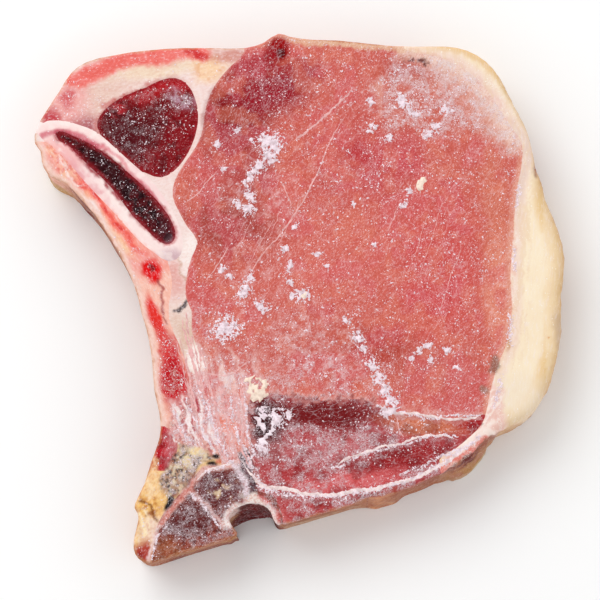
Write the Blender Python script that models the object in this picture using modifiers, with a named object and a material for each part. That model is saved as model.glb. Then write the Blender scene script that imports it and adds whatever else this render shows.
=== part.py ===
"""A raw bone-in pork loin chop, lying flat, as closed solids for each muscle, bone and layer of fat.

Every piece runs right through the slice, so each one is an upright prism. A prism is kept inside the
rounded slab of the whole chop and is cut back from the pieces that lie before it in PIECES.
Outlines are in millimetres, seen from above, about the centre of the chop's box.
"""

import bpy
import bmesh
from mathutils import Vector

MM = 0.001
THICKNESS = 18.0
SEAM = 0.3
ROUNDING = 6.0
LEAN_ROUNDING_SHARE = 0.16
ROUNDING_STEPS = 3
OUTLINE_STEPS = 2
PRISM_MARGIN = 4.0

# The chop's edge, clockwise from the end of the rib on the left.
EDGE = [
    (-70.3, 40.6), (-69.9, 44.5), (-67.4, 49.5), (-64.0, 55.0), (-61.0, 59.9), (-57.0, 62.9),
    (-50.2, 64.7), (-41.0, 66.1), (-31.0, 66.8), (-22.0, 66.8), (-14.5, 66.8), (-9.5, 68.3),
    (-5.5, 70.8), (-2.5, 70.0), (3.0, 69.2), (11.0, 68.9), (19.0, 68.0), (27.0, 67.2),
    (36.1, 67.2), (42.3, 66.8), (47.6, 64.8), (52.1, 60.9), (55.5, 55.9), (58.8, 49.7),
    (61.3, 43.0), (62.9, 36.0), (65.1, 28.3), (67.9, 20.2), (70.0, 13.3), (70.3, 7.0),
    (69.4, -1.0), (69.3, -10.0), (68.4, -16.2), (66.3, -23.0), (63.5, -29.0), (59.6, -33.4),
    (54.6, -36.0), (50.0, -37.6), (47.3, -39.6), (45.2, -42.0), (42.2, -44.0), (38.2, -46.5),
    (33.2, -49.0), (27.2, -51.5), (20.2, -53.6), (10.2, -56.7), (4.0, -58.5), (-2.8, -60.5),
    (-5.4, -60.9), (-6.6, -59.6), (-7.4, -57.4), (-9.3, -55.6), (-11.8, -55.1), (-15.0, -55.9),
    (-17.3, -57.3), (-18.1, -59.3), (-16.8, -61.4), (-15.9, -63.3), (-20.4, -65.1), (-25.5, -66.7),
    (-30.7, -68.3), (-35.8, -70.0), (-38.8, -70.6), (-41.4, -69.5), (-42.7, -66.8), (-42.5, -63.6),
    (-41.7, -60.0), (-41.7, -58.0), (-42.6, -56.4), (-42.0, -54.2), (-40.1, -50.0), (-38.3, -44.0),
    (-36.9, -40.0), (-36.1, -36.0), (-36.5, -31.5), (-37.8, -26.0), (-38.4, -19.0), (-39.5, -12.0),
    (-41.3, -5.5), (-43.4, 2.0), (-46.4, 8.5), (-50.1, 15.0), (-53.9, 20.8), (-58.0, 25.4),
    (-61.2, 29.0), (-64.2, 30.4), (-66.8, 32.2), (-68.4, 35.4), (-68.8, 38.4),
]

RIB_MARROW = [
    (-64.8, 43.2), (-60.0, 42.2), (-55.0, 39.8), (-50.0, 36.3), (-45.0, 32.0), (-40.0, 27.3),
    (-36.0, 22.7), (-33.3, 18.0), (-32.8, 15.0), (-34.2, 13.3), (-36.8, 14.0), (-40.0, 17.0),
    (-44.0, 21.0), (-48.0, 26.5), (-52.0, 31.0), (-56.5, 35.2), (-61.0, 39.8),
]

RIB_BONE = [
    (-69.0, 45.3), (-64.0, 46.5), (-58.5, 45.2), (-54.0, 43.3), (-50.0, 40.0), (-45.0, 35.4),
    (-40.0, 30.8), (-36.0, 26.0), (-32.6, 20.0), (-31.0, 15.0), (-31.2, 10.5), (-34.0, 8.6),
    (-38.0, 10.8), (-42.0, 14.0), (-46.0, 18.5), (-50.5, 23.5), (-55.0, 28.2), (-59.0, 32.8),
    (-62.5, 36.8), (-66.5, 40.5), (-69.3, 43.0),
]

CAP_MUSCLE = [
    (-53.6, 45.0), (-52.8, 48.0), (-50.0, 51.0), (-46.0, 53.5), (-41.0, 55.5), (-37.0, 57.5),
    (-33.0, 58.2), (-30.0, 56.5), (-28.0, 53.0), (-27.0, 48.0), (-27.4, 44.0), (-28.6, 40.0),
    (-30.7, 36.0), (-33.3, 33.0), (-36.5, 31.3), (-40.0, 32.2), (-43.5, 34.0), (-47.2, 37.2),
    (-51.0, 41.0),
]

CHINE_BONE = [
    (-36.5, -76.0), (-37.3, -66.0), (-36.2, -60.5), (-33.0, -55.5), (-29.5, -51.5), (-27.0, -48.5),
    (-24.5, -46.0), (-21.0, -45.6), (-17.0, -46.3), (-13.5, -47.5), (-11.5, -50.0), (-10.5, -52.3),
    (-7.5, -53.0), (-5.3, -56.0), (-4.3, -60.0), (-4.0, -66.0), (-15.0, -77.0),
]

BACK_FAT = [
    (24.0, 75.0), (28.5, 66.2), (35.0, 64.9), (40.0, 63.2), (45.5, 60.0), (50.0, 55.5),
    (53.5, 50.0), (57.0, 44.3), (59.3, 40.3), (59.3, 35.5), (58.3, 30.0), (57.3, 24.0),
    (56.8, 16.0), (56.0, 9.0), (55.7, 2.0), (56.0, -3.0), (55.6, -8.0), (54.8, -12.5),
    (53.0, -17.0), (51.3, -21.5), (49.8, -27.0), (49.0, -31.0), (47.8, -34.5), (44.5, -38.0),
    (40.5, -41.3), (36.5, -44.0), (39.5, -50.0), (50.0, -52.0), (66.0, -46.0), (80.0, -20.0),
    (84.0, 20.0), (74.0, 60.0), (46.0, 82.0),
]

TENDERLOIN = [
    (-12.5, -28.0), (-9.5, -26.8), (-5.0, -27.0), (1.0, -28.5), (8.0, -28.6), (14.0, -28.2),
    (19.0, -29.0), (22.5, -31.2), (27.0, -32.3), (33.0, -33.0), (38.0, -33.7), (43.0, -33.5),
    (50.0, -32.2), (56.0, -40.0), (46.0, -52.0), (34.0, -54.0), (31.5, -50.2), (27.0, -50.2),
    (22.0, -51.5), (12.0, -53.2), (3.0, -53.0), (-4.0, -52.0), (-8.0, -50.5), (-11.0, -48.0),
    (-12.0, -44.0), (-12.5, -38.0), (-13.2, -33.0),
]

FLANK_STRIP = [
    (-9.0, -49.0), (14.0, -49.0), (34.0, -44.0), (40.0, -58.0), (30.0, -66.0), (-4.0, -72.0),
    (-12.0, -56.0),
]

SIDE_MUSCLE = [
    (-44.0, -34.0), (-37.5, -34.3), (-34.0, -36.0), (-32.0, -38.5), (-31.9, -42.5), (-33.8, -46.4),
    (-36.3, -46.6), (-44.0, -46.0),
]

SIDE_FAT = [
    (-48.0, -40.0), (-38.0, -40.0), (-34.0, -42.0), (-30.5, -37.8), (-26.0, -38.0), (-22.5, -40.5),
    (-20.5, -43.0), (-21.0, -50.0), (-30.0, -60.0), (-34.0, -78.0), (-50.0, -76.0),
]

SEAM_FAT = [
    (-13.0, 76.0), (-14.5, 66.0), (-18.5, 61.5), (-21.5, 58.0), (-23.8, 54.0), (-25.2, 49.0),
    (-25.8, 44.0), (-27.5, 39.5), (-30.5, 35.0), (-33.0, 30.5), (-33.6, 26.0), (-32.0, 22.0),
    (-29.5, 17.5), (-27.0, 13.8), (-28.3, 10.0), (-29.8, 4.0), (-30.0, -1.0), (-28.3, -5.0),
    (-28.3, -10.0), (-26.8, -14.5), (-26.0, -18.0), (-27.2, -21.5), (-29.4, -18.0), (-31.5, -13.0),
    (-33.6, -8.0), (-34.0, -3.0), (-33.2, 2.0), (-34.0, 7.0), (-40.0, 20.0), (-60.0, 40.0),
    (-80.0, 45.0), (-72.0, 72.0), (-40.0, 80.0),
]

RIB_STRIP = [
    (-80.0, 46.0), (-60.0, 38.0), (-45.0, 22.0), (-34.0, 12.0), (-30.0, 4.0), (-30.0, -14.0),
    (-29.6, -20.0), (-28.8, -26.0), (-29.5, -32.0), (-33.5, -35.5), (-44.0, -37.0), (-48.0, -10.0),
    (-58.0, 12.0), (-80.0, 26.0),
]

LOIN_EYE = [
    (-40.0, 20.0), (-30.0, 60.0), (-30.0, 80.0), (20.0, 82.0), (50.0, 72.0), (64.0, 40.0),
    (62.0, 0.0), (60.0, -30.0), (40.0, -40.0), (0.0, -46.0), (-16.0, -52.0), (-32.0, -46.0),
    (-35.0, -34.0), (-36.0, 0.0),
]

# Each piece: outline, colour, roughness. A piece gives way to those above it.
PIECES = {
    "rib_marrow": (RIB_MARROW, (0.13, 0.010, 0.014), 0.55),
    "rib_bone": (RIB_BONE, (0.86, 0.66, 0.62), 0.45),
    "cap_muscle": (CAP_MUSCLE, (0.20, 0.016, 0.020), 0.50),
    "chine_bone": (CHINE_BONE, (0.28, 0.070, 0.055), 0.55),
    "back_fat": (BACK_FAT, (0.84, 0.72, 0.54), 0.40),
    "tenderloin": (TENDERLOIN, (0.32, 0.035, 0.035), 0.50),
    "side_muscle": (SIDE_MUSCLE, (0.38, 0.015, 0.025), 0.45),
    "seam_fat": (SEAM_FAT, (0.82, 0.62, 0.55), 0.45),
    "side_fat": (SIDE_FAT, (0.76, 0.54, 0.28), 0.45),
    "rib_strip": (RIB_STRIP, (0.72, 0.22, 0.17), 0.45),
    "flank_strip": (FLANK_STRIP, (0.26, 0.050, 0.035), 0.50),
    "loin_eye": (LOIN_EYE, (0.60, 0.13, 0.10), 0.50),
}

# Where the wall isn't square but leans out towards the underside: centre, reach, and how far it leans.
LEANS = [
    ((-13.5, -57.5), 7.5, (1.0, -3.0)),
    ((22.0, -53.5), 8.0, (0.3, -2.0)),
    ((34.0, -48.5), 8.0, (0.3, -1.0)),
    ((45.0, -42.5), 10.0, (0.8, -3.6)),
]


def clear_scene():
    for obj in list(bpy.data.objects):
        bpy.data.objects.remove(obj)


def make_collection(name, shown):
    made = bpy.data.collections.new(name)
    made.hide_render = not shown
    bpy.context.scene.collection.children.link(made)
    return made


def smoothstep(low, high, value):
    share = min(1.0, max(0.0, (value - low) / (high - low)))
    return share * share * (3.0 - 2.0 * share)


def prism(name, outline, collection, low=-PRISM_MARGIN, high=THICKNESS + PRISM_MARGIN, grow=0.0):
    """A closed upright prism between two heights whose outline is a smooth curve, grown sideways."""
    curve = bpy.data.curves.new(name, "CURVE")
    curve.dimensions = "2D"
    curve.fill_mode = "BOTH"
    curve.resolution_u = OUTLINE_STEPS
    curve.extrude = (high - low) / 2 * MM
    curve.offset = grow * MM
    spline = curve.splines.new("BEZIER")
    spline.use_cyclic_u = True
    spline.bezier_points.add(len(outline) - 1)
    for point, (x, y) in zip(spline.bezier_points, outline):
        point.co = Vector((x, y, 0.0)) * MM
        point.handle_left_type = "AUTO"
        point.handle_right_type = "AUTO"
    guide = bpy.data.objects.new(name, curve)
    guide.location.z = (high + low) / 2 * MM
    bpy.context.scene.collection.objects.link(guide)
    graph = bpy.context.evaluated_depsgraph_get()
    mesh = bpy.data.meshes.new_from_object(guide.evaluated_get(graph))
    mesh.transform(guide.matrix_world)
    bpy.data.objects.remove(guide)
    shape = bmesh.new()
    shape.from_mesh(mesh)
    bmesh.ops.remove_doubles(shape, verts=shape.verts, dist=0.001 * MM)
    bmesh.ops.recalc_face_normals(shape, faces=shape.faces)
    for side in (1.0, -1.0):
        cap = [face for face in shape.faces if face.normal.z * side > 0.9]
        bmesh.ops.dissolve_faces(shape, faces=cap)
    shape.to_mesh(mesh)
    shape.free()
    mesh.name = name
    solid = bpy.data.objects.new(name, mesh)
    collection.objects.link(solid)
    return solid


def as_cutter(solid):
    solid.hide_render = True
    solid.display_type = "WIRE"
    return solid


def lean_out(shape):
    for vertex in shape.verts:
        depth = 1.0 - vertex.co.z / (THICKNESS * MM)
        place = vertex.co.xy / MM
        for centre, reach, lean in LEANS:
            share = depth * smoothstep(reach, 0.4 * reach, (place - Vector(centre)).length)
            vertex.co.xy += Vector(lean) * share * MM


def rounding_share(place):
    """How round the rim is: full along the back fat, and nearly square round the lean and the bones."""
    along_fat = smoothstep(44.0, 58.0, place.x) * smoothstep(-44.0, -30.0, place.y)
    along_fat *= smoothstep(64.0, 44.0, place.y)
    return LEAN_ROUNDING_SHARE + (1.0 - LEAN_ROUNDING_SHARE) * along_fat


def whole_chop(collection):
    """The chop without its seams."""
    slab = as_cutter(prism("whole_chop", EDGE, collection, 0.0, THICKNESS))
    shape = bmesh.new()
    shape.from_mesh(slab.data)
    lean_out(shape)
    weights = shape.edges.layers.float.new("bevel_weight_edge")
    for edge in shape.edges:
        start, end = (vertex.co for vertex in edge.verts)
        flat = abs(start.z - end.z) < 0.1 * MM
        if flat and edge.calc_face_angle() > 0.5:
            edge[weights] = rounding_share((start.xy + end.xy) / 2 / MM)
    shape.to_mesh(slab.data)
    shape.free()
    rounding = slab.modifiers.new("rounding", "BEVEL")
    rounding.limit_method = "WEIGHT"
    rounding.width = ROUNDING * MM
    rounding.segments = ROUNDING_STEPS
    return slab


def cut(solid, operation, other):
    change = solid.modifiers.new(other.name, "BOOLEAN")
    change.operation = operation
    change.solver = "EXACT"
    change.object = other


def paint(solid, colour, roughness):
    material = bpy.data.materials.new(solid.name)
    material.use_nodes = True
    shader = material.node_tree.nodes["Principled BSDF"]
    shader.inputs["Base Color"].default_value = (*colour, 1.0)
    shader.inputs["Roughness"].default_value = roughness
    shader.inputs["Metallic"].default_value = 0.0
    solid.data.materials.append(material)


def main():
    clear_scene()
    chop = make_collection("raw_pork_chop", True)
    cutters = make_collection("cutters", False)
    slab = whole_chop(cutters)
    before = []
    for name, (outline, colour, roughness) in PIECES.items():
        piece = prism(name, outline, chop)
        cut(piece, "INTERSECT", slab)
        for neighbour in before:
            cut(piece, "DIFFERENCE", neighbour)
        paint(piece, colour, roughness)
        before.append(as_cutter(prism(name + "_space", outline, cutters, grow=SEAM)))


main()
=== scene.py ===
"""Looks of the raw pork chop: one skin over the whole slice, parted at the seams, with frost on top.

Lengths are in millimetres until a mesh is made. Places are given as (x, y) in the frame of the CAD.
"""

import math

import bmesh
import bpy
import numpy as np
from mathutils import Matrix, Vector
from mathutils.bvhtree import BVHTree
from mathutils.geometry import delaunay_2d_cdt


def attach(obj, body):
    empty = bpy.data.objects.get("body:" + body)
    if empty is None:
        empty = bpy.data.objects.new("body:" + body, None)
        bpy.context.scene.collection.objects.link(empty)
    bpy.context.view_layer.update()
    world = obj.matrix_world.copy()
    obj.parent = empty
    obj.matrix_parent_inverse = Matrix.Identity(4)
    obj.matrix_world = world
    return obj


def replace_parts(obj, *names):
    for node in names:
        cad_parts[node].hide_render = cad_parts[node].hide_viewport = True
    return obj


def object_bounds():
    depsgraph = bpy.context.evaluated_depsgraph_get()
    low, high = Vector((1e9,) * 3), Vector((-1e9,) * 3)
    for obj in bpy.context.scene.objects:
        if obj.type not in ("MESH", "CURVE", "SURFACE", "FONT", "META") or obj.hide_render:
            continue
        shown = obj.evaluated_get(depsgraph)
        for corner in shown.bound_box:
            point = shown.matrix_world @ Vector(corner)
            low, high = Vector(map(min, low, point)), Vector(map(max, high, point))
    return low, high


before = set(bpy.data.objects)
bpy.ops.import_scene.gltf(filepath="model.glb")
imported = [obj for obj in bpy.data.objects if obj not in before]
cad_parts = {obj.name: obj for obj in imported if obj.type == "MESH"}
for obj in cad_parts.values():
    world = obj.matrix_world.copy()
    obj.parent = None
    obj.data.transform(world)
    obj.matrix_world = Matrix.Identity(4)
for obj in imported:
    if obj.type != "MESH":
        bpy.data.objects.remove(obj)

CAD_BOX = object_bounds()
MM = 0.001
THICKNESS = CAD_BOX[1].z / MM
SEAM = 0.3

# Spacing of the skin's points on the face and on the underside, and its rows over an edge and down a wall.
SPACING = 0.42
UNDER_SPACING = 1.3
ARC_ROWS = 7
WALL_ROWS = 20

# Step and margin of the distance grid, and the distance beyond which it isn't worked out.
GRID_STEP = 0.5
GRID_MARGIN = 6.0
FAR = 5.0

# Radius of the fat's edge, and the share of it that the meat's edge has.
ROUNDING = 6.0
MEAT_ROUNDING_SHARE = 0.16

# Where the wall leans out on its way down: the middle, the reach and the shift of the underside's edge.
LEANS = [
    ((-13.5, -57.5), 7.5, (1.0, -3.0)),
    ((22.0, -53.5), 8.0, (0.3, -2.0)),
    ((34.0, -48.5), 8.0, (0.3, -1.0)),
    ((45.0, -42.5), 10.0, (0.8, -3.6)),
]

NODES = list(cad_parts)


# ---- numbers

TINY = 1e-12
BATCH = 4000


def smoothstep(low, high, value):
    share = np.clip((value - low) / (high - low), 0.0, 1.0)
    return share * share * (3.0 - 2.0 * share)


def lattice(corner, seed):
    """A random number from -1 to 1 for each whole-numbered place."""
    number = corner.astype(np.int64).astype(np.uint32)
    mixed = number[..., 0] * np.uint32(374761393) + number[..., 1] * np.uint32(668265263)
    mixed = mixed + number[..., 2] * np.uint32(2246822519) + np.uint32(seed * 3266489917 % 2**32)
    mixed = (mixed ^ (mixed >> np.uint32(15))) * np.uint32(2246822519)
    mixed = (mixed ^ (mixed >> np.uint32(13))) * np.uint32(3266489917)
    mixed = mixed ^ (mixed >> np.uint32(16))
    return mixed.astype(np.float64) / 2147483648.0 - 1.0


def noise(place, size, seed=0, octaves=1):
    """Smooth noise from about -1 to 1, whose waves are about two sizes long."""
    if place.shape[1] == 2:
        place = np.column_stack([place, np.zeros(len(place))])
    total = np.zeros(len(place))
    weight = 0.0
    for octave in range(octaves):
        scaled = place / size * 2.0**octave + 17.3 * octave
        low = np.floor(scaled)
        part = scaled - low
        part = part * part * part * (part * (part * 6.0 - 15.0) + 10.0)
        value = np.zeros(len(place))
        for corner in np.ndindex(2, 2, 2):
            step = np.array(corner)
            share = np.prod(np.where(step, part, 1.0 - part), axis=1)
            value += share * lattice(low + step, seed + octave)
        total += value * 0.5**octave
        weight += 0.5**octave
    return total / weight * 1.6


def noise_pair(place, size, seed):
    return np.column_stack([noise(place, size, seed), noise(place, size, seed + 50)])


def batches(count):
    """Stretches of whole numbers up to a count, each small enough to work on at once."""
    return [slice(first, first + BATCH) for first in range(0, count, BATCH)]


def distance_to(place, starts, ends):
    """Distance from each place to the nearest of some straight stretches."""
    along = ends - starts
    length = np.maximum((along**2).sum(-1), TINY)
    found = np.empty(len(place))
    for batch in batches(len(place)):
        gap = place[batch, None] - starts
        share = np.clip((gap * along).sum(-1) / length, 0.0, 1.0)
        found[batch] = np.sqrt(((gap - along * share[..., None]) ** 2).sum(-1).min(1))
    return found


def is_inside(place, starts, ends):
    """Whether each place lies inside the closed outlines that the stretches make."""
    rise = np.where(ends[:, 1] == starts[:, 1], TINY, ends[:, 1] - starts[:, 1])
    slope = (ends[:, 0] - starts[:, 0]) / rise
    found = np.empty(len(place), bool)
    for batch in batches(len(place)):
        x, y = place[batch].T[..., None]
        spans = (starts[:, 1] > y) != (ends[:, 1] > y)
        left = x < starts[:, 0] + (y - starts[:, 1]) * slope
        found[batch] = (spans & left).sum(1) % 2 == 1
    return found


def signed_distance(place, stretches):
    """Distance to some closed outlines, negative inside them."""
    away = distance_to(place, *stretches)
    return np.where(is_inside(place, *stretches), -away, away)


def stretches_of(loops):
    """The starts and the ends of the straight stretches of some closed loops."""
    return np.concatenate(loops), np.concatenate([np.roll(loop, -1, axis=0) for loop in loops])


def area_of(loop):
    """Area inside a loop, positive where it runs anticlockwise."""
    after = np.roll(loop, -1, axis=0)
    return (loop[:, 0] * after[:, 1] - loop[:, 1] * after[:, 0]).sum() / 2


def turned(x, y, degrees):
    """How far places lie along a direction, and how far to the left of it."""
    angle = math.radians(degrees)
    return x * math.cos(angle) + y * math.sin(angle), y * math.cos(angle) - x * math.sin(angle)


def spline(before, start, end, after, share):
    """Places on the smooth curve from a start to an end, given the points before and after them."""
    return 0.5 * (2 * start + (end - before) * share
                  + (2 * before - 5 * start + 4 * end - after) * share**2
                  + (3 * start - before - 3 * end + after) * share**3)


def evenly_along(line, step, closed):
    """Evenly spaced places along a finely drawn line. A closed one leaves out its last point."""
    length = np.concatenate([[0.0], np.cumsum(np.hypot(*np.diff(line, axis=0).T))])
    count = int(length[-1] / step) + (0 if closed else 2)
    wanted = np.linspace(0.0, length[-1], count, endpoint=not closed)
    return np.column_stack([np.interp(wanted, length, line[:, axis]) for axis in (0, 1)])


# ---- outlines from the frame

def section(node, height):
    """The closed outlines of a CAD node at a height."""
    shape = bmesh.new()
    shape.from_mesh(node.data)
    bmesh.ops.remove_doubles(shape, verts=shape.verts, dist=0.002 * MM)
    everything = shape.verts[:] + shape.edges[:] + shape.faces[:]
    bmesh.ops.bisect_plane(
        shape, geom=everything, plane_co=(0, 0, height * MM), plane_no=(0, 0, 1),
        clear_outer=True, clear_inner=True,
    )
    bmesh.ops.remove_doubles(shape, verts=shape.verts, dist=0.02 * MM)
    loops = []
    left = set(shape.verts)
    while left:
        path = [left.pop()]
        for _ in range(2):
            while True:
                near = [e.other_vert(path[-1]) for e in path[-1].link_edges]
                onward = [vertex for vertex in near if vertex in left]
                if not onward:
                    break
                left.discard(onward[0])
                path.append(onward[0])
            path.reverse()
        if len(path) > 3:
            loops.append(np.array([v.co.xy for v in path], float) / MM)
    shape.free()
    return loops


def outer_runs(loops, others):
    """The parts of an outline that no other node lies against, each in anticlockwise order."""
    runs = []
    for loop in loops:
        if area_of(loop) < 0:
            loop = loop[::-1]
        free = distance_to(loop, *others) > 2.0 * SEAM
        if not free.any():
            continue
        first = next((i for i in range(len(loop)) if free[i] and not free[i - 1]), 0)
        run = []
        for i in range(first, first + len(loop)):
            if free[i % len(loop)]:
                run.append(loop[i % len(loop)])
            elif run:
                runs.append(np.array(run))
                run = []
        if run:
            runs.append(np.array(run))
    return [run for run in runs if len(run) > 1]


def chained(runs):
    """All the runs, end to start, as one loop."""
    left = list(runs)
    loop = left.pop(0)
    while left:
        gaps = [np.hypot(*(run[0] - loop[-1])) for run in left]
        loop = np.concatenate([loop, left.pop(int(np.argmin(gaps)))])
    return loop


def resampled(loop, step):
    """A smooth curve through a loop's points, as evenly spaced points."""
    around = [np.roll(loop, -shift, axis=0) for shift in (-1, 0, 1, 2)]
    parts = [spline(*around, share) for share in np.linspace(0.0, 1.0, 12, endpoint=False)]
    fine = np.stack(parts, axis=1).reshape(-1, 2)
    return evenly_along(np.concatenate([fine, fine[:1]]), step, True)


def smoothed(values, reach):
    """Each value of a closed row, averaged with its neighbours."""
    total = sum(np.roll(values, shift, axis=0) for shift in range(-reach, reach + 1))
    return total / (2 * reach + 1)


LOOPS = {name: section(node, THICKNESS / 2) for name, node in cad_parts.items()}
STRETCHES = {name: stretches_of(loops) for name, loops in LOOPS.items()}


def chop_outline():
    """The outer edge of the whole chop at half its thickness."""
    runs = []
    for name in NODES:
        others = [STRETCHES[other] for other in NODES if other != name]
        runs += outer_runs(LOOPS[name], [np.concatenate(ends) for ends in zip(*others)])
    return resampled(chained(runs), SPACING)


def distance_grid():
    """The corner of a square grid, each node's signed distances on it, and the whole chop's."""
    points = np.concatenate([starts for starts, _ in STRETCHES.values()])
    corner = points.min(0) - GRID_MARGIN
    far = points.max(0) + GRID_MARGIN
    columns, rows = np.ceil((far - corner) / GRID_STEP).astype(int) + 1
    x, y = np.meshgrid(np.arange(columns), np.arange(rows), indexing="ij")
    place = corner + GRID_STEP * np.column_stack([x.ravel(), y.ravel()])
    grid = np.full((columns * rows, len(NODES)), FAR)
    for layer, name in enumerate(NODES):
        starts, ends = STRETCHES[name]
        near = ((place > starts.min(0) - FAR) & (place < starts.max(0) + FAR)).all(1)
        grid[near, layer] = signed_distance(place[near], (starts, ends))
    edge = signed_distance(place, stretches_of([chop_outline()[::4]]))
    return corner, grid.reshape(columns, rows, -1), edge.reshape(columns, rows, 1)


GRID_CORNER, GRID, EDGE_GRID = distance_grid()


def looked_up(grid, place):
    """A grid's values at some places between its points."""
    scaled = (place[:, :2] - GRID_CORNER) / GRID_STEP
    limit = np.array(grid.shape[:2]) - 2
    low = np.clip(np.floor(scaled).astype(int), 0, limit)
    u, v = np.clip(scaled - low, 0.0, 1.0).T[..., None]
    i, j = low.T
    near = grid[i, j] * (1 - v) + grid[i, j + 1] * v
    far = grid[i + 1, j] * (1 - v) + grid[i + 1, j + 1] * v
    return near * (1 - u) + far * u


def node_distances(place):
    """Signed distance from each place to each node's outline, as columns."""
    return looked_up(GRID, place)


def lean_at(place):
    """How far the underside's edge stands out from the top's, near each place on the edge."""
    lean = np.zeros_like(place)
    for centre, reach, shift in LEANS:
        away = np.hypot(*(place - centre).T)
        lean += smoothstep(reach, 0.4 * reach, away)[:, None] * np.array(shift)
    return lean


def rounding_at(place):
    """Radius of the rounded edge near each place on it, full along the back fat."""
    x, y = place.T
    along_fat = smoothstep(44.0, 58.0, x) * smoothstep(-44.0, -30.0, y) * smoothstep(64.0, 44.0, y)
    return ROUNDING * (MEAT_ROUNDING_SHARE + (1.0 - MEAT_ROUNDING_SHARE) * along_fat)


# ---- relief of the cut face

# How far each node's cut face lies below the highest frost, and how rough it is.
FACES = {
    "loin_eye": (0.55, 0.10), "cap_muscle": (0.8, 0.14), "tenderloin": (0.75, 0.14),
    "flank_strip": (0.8, 0.16), "side_muscle": (0.8, 0.12), "rib_strip": (0.55, 0.08),
    "rib_bone": (0.4, 0.02), "rib_marrow": (1.0, 0.22), "chine_bone": (0.6, 0.22),
    "back_fat": (0.45, 0.02), "seam_fat": (0.5, 0.06), "side_fat": (0.55, 0.16),
}
LEAST_DEPTH = 0.12

# Depth and half width of the groove along a seam, and height and size of the face's slow swell.
GROOVE = (0.05, 0.45)
SWELL = (0.16, 14.0)


def face_depth(place, distances):
    """How far the cut face lies below the top of the CAD's box."""
    shares = smoothstep(0.6, -0.3, distances)
    shares /= np.maximum(shares.sum(1, keepdims=True), 1e-6)
    depth, rough = (shares @ np.array([FACES[name] for name in NODES])).T
    two = np.sort(distances, axis=1)[:, :2]
    to_seam = (two[:, 1] - two[:, 0]) / 2
    depth = depth + GROOVE[0] * np.exp(-((to_seam / GROOVE[1]) ** 2))
    depth += SWELL[0] * noise(place, SWELL[1], 3, 2) + rough * noise(place, 1.1, 5, 3)
    return np.maximum(depth, LEAST_DEPTH)


# ---- the skin

# Size and depth of the wall's dents. They are pushed in, so that none stands out of the CAD, and only so far.
DENTS = ((5.0, 0.28), (1.2, 0.1))
DENT_PUSH = 0.45
DENT_MOST = 0.8


def hex_grid(low, high, step, seed):
    """Evenly spread places with a little disorder."""
    rows = np.arange(low[1], high[1], step * math.sqrt(0.75))
    columns = np.arange(low[0], high[0], step)
    x, y = np.meshgrid(columns, rows)
    x[1::2] += step / 2
    places = np.column_stack([x.ravel(), y.ravel()])
    return places + np.random.default_rng(seed).uniform(-0.12, 0.12, places.shape) * step


def snapped_to_seams(place):
    """Moves the places nearest to a seam onto it, so that pieces part along a smooth line."""
    def lead(at):
        two = np.sort(node_distances(at), axis=1)[:, :2]
        return two[:, 1] - two[:, 0]

    def sides(at, pair):
        found = node_distances(at)
        rows = np.arange(len(at))
        return found[rows, pair[:, 0]] - found[rows, pair[:, 1]]

    near = np.flatnonzero(lead(place) / 2 < 0.5 * SPACING)
    at = place[near]
    pair = np.argsort(node_distances(at), axis=1)[:, :2]
    value = sides(at, pair)
    step = 0.02
    slope = np.column_stack([sides(at + way, pair) - value for way in ((step, 0.0), (0.0, step))]) / step
    steep = (slope**2).sum(1)
    good = steep > 1.0
    moved = place.copy()
    moved[near[good]] -= (value[good] / steep[good])[:, None] * slope[good]
    return moved


def well_inside(place, loop, margin):
    """The places that lie inside a finely drawn loop by more than a margin."""
    coarse = signed_distance(place, stretches_of([loop[::6]]))
    doubtful = np.abs(coarse + margin) < 1.0
    inside = coarse < -margin
    inside[doubtful] = signed_distance(place[doubtful], stretches_of([loop])) < -margin
    return place[inside]


def triangulated(places, edges):
    """Triangles inside the closed outlines that the edges make between the first of the places."""
    points = [Vector(p) for p in places]
    _, _, faces, origin, _, _ = delaunay_2d_cdt(points, edges, [], 0, 1e-7, True)
    back = np.array([source[0] if source else -1 for source in origin])
    faces = back[np.array(faces)]
    faces = faces[(faces >= 0).all(1)]
    edges = np.array(edges)
    inside = (faces > edges.max()).any(1)
    doubtful = ~inside
    centres = places[faces[doubtful]].mean(1)
    inside[doubtful] = is_inside(centres, places[edges[:, 0]], places[edges[:, 1]])
    return faces[inside]


def facing_up(places, faces):
    """The triangles, each anticlockwise as seen from above."""
    first, second, third = places[faces].transpose(1, 0, 2)
    return np.where((np.cross(second - first, third - first) < 0)[:, None], faces[:, ::-1], faces)


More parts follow.
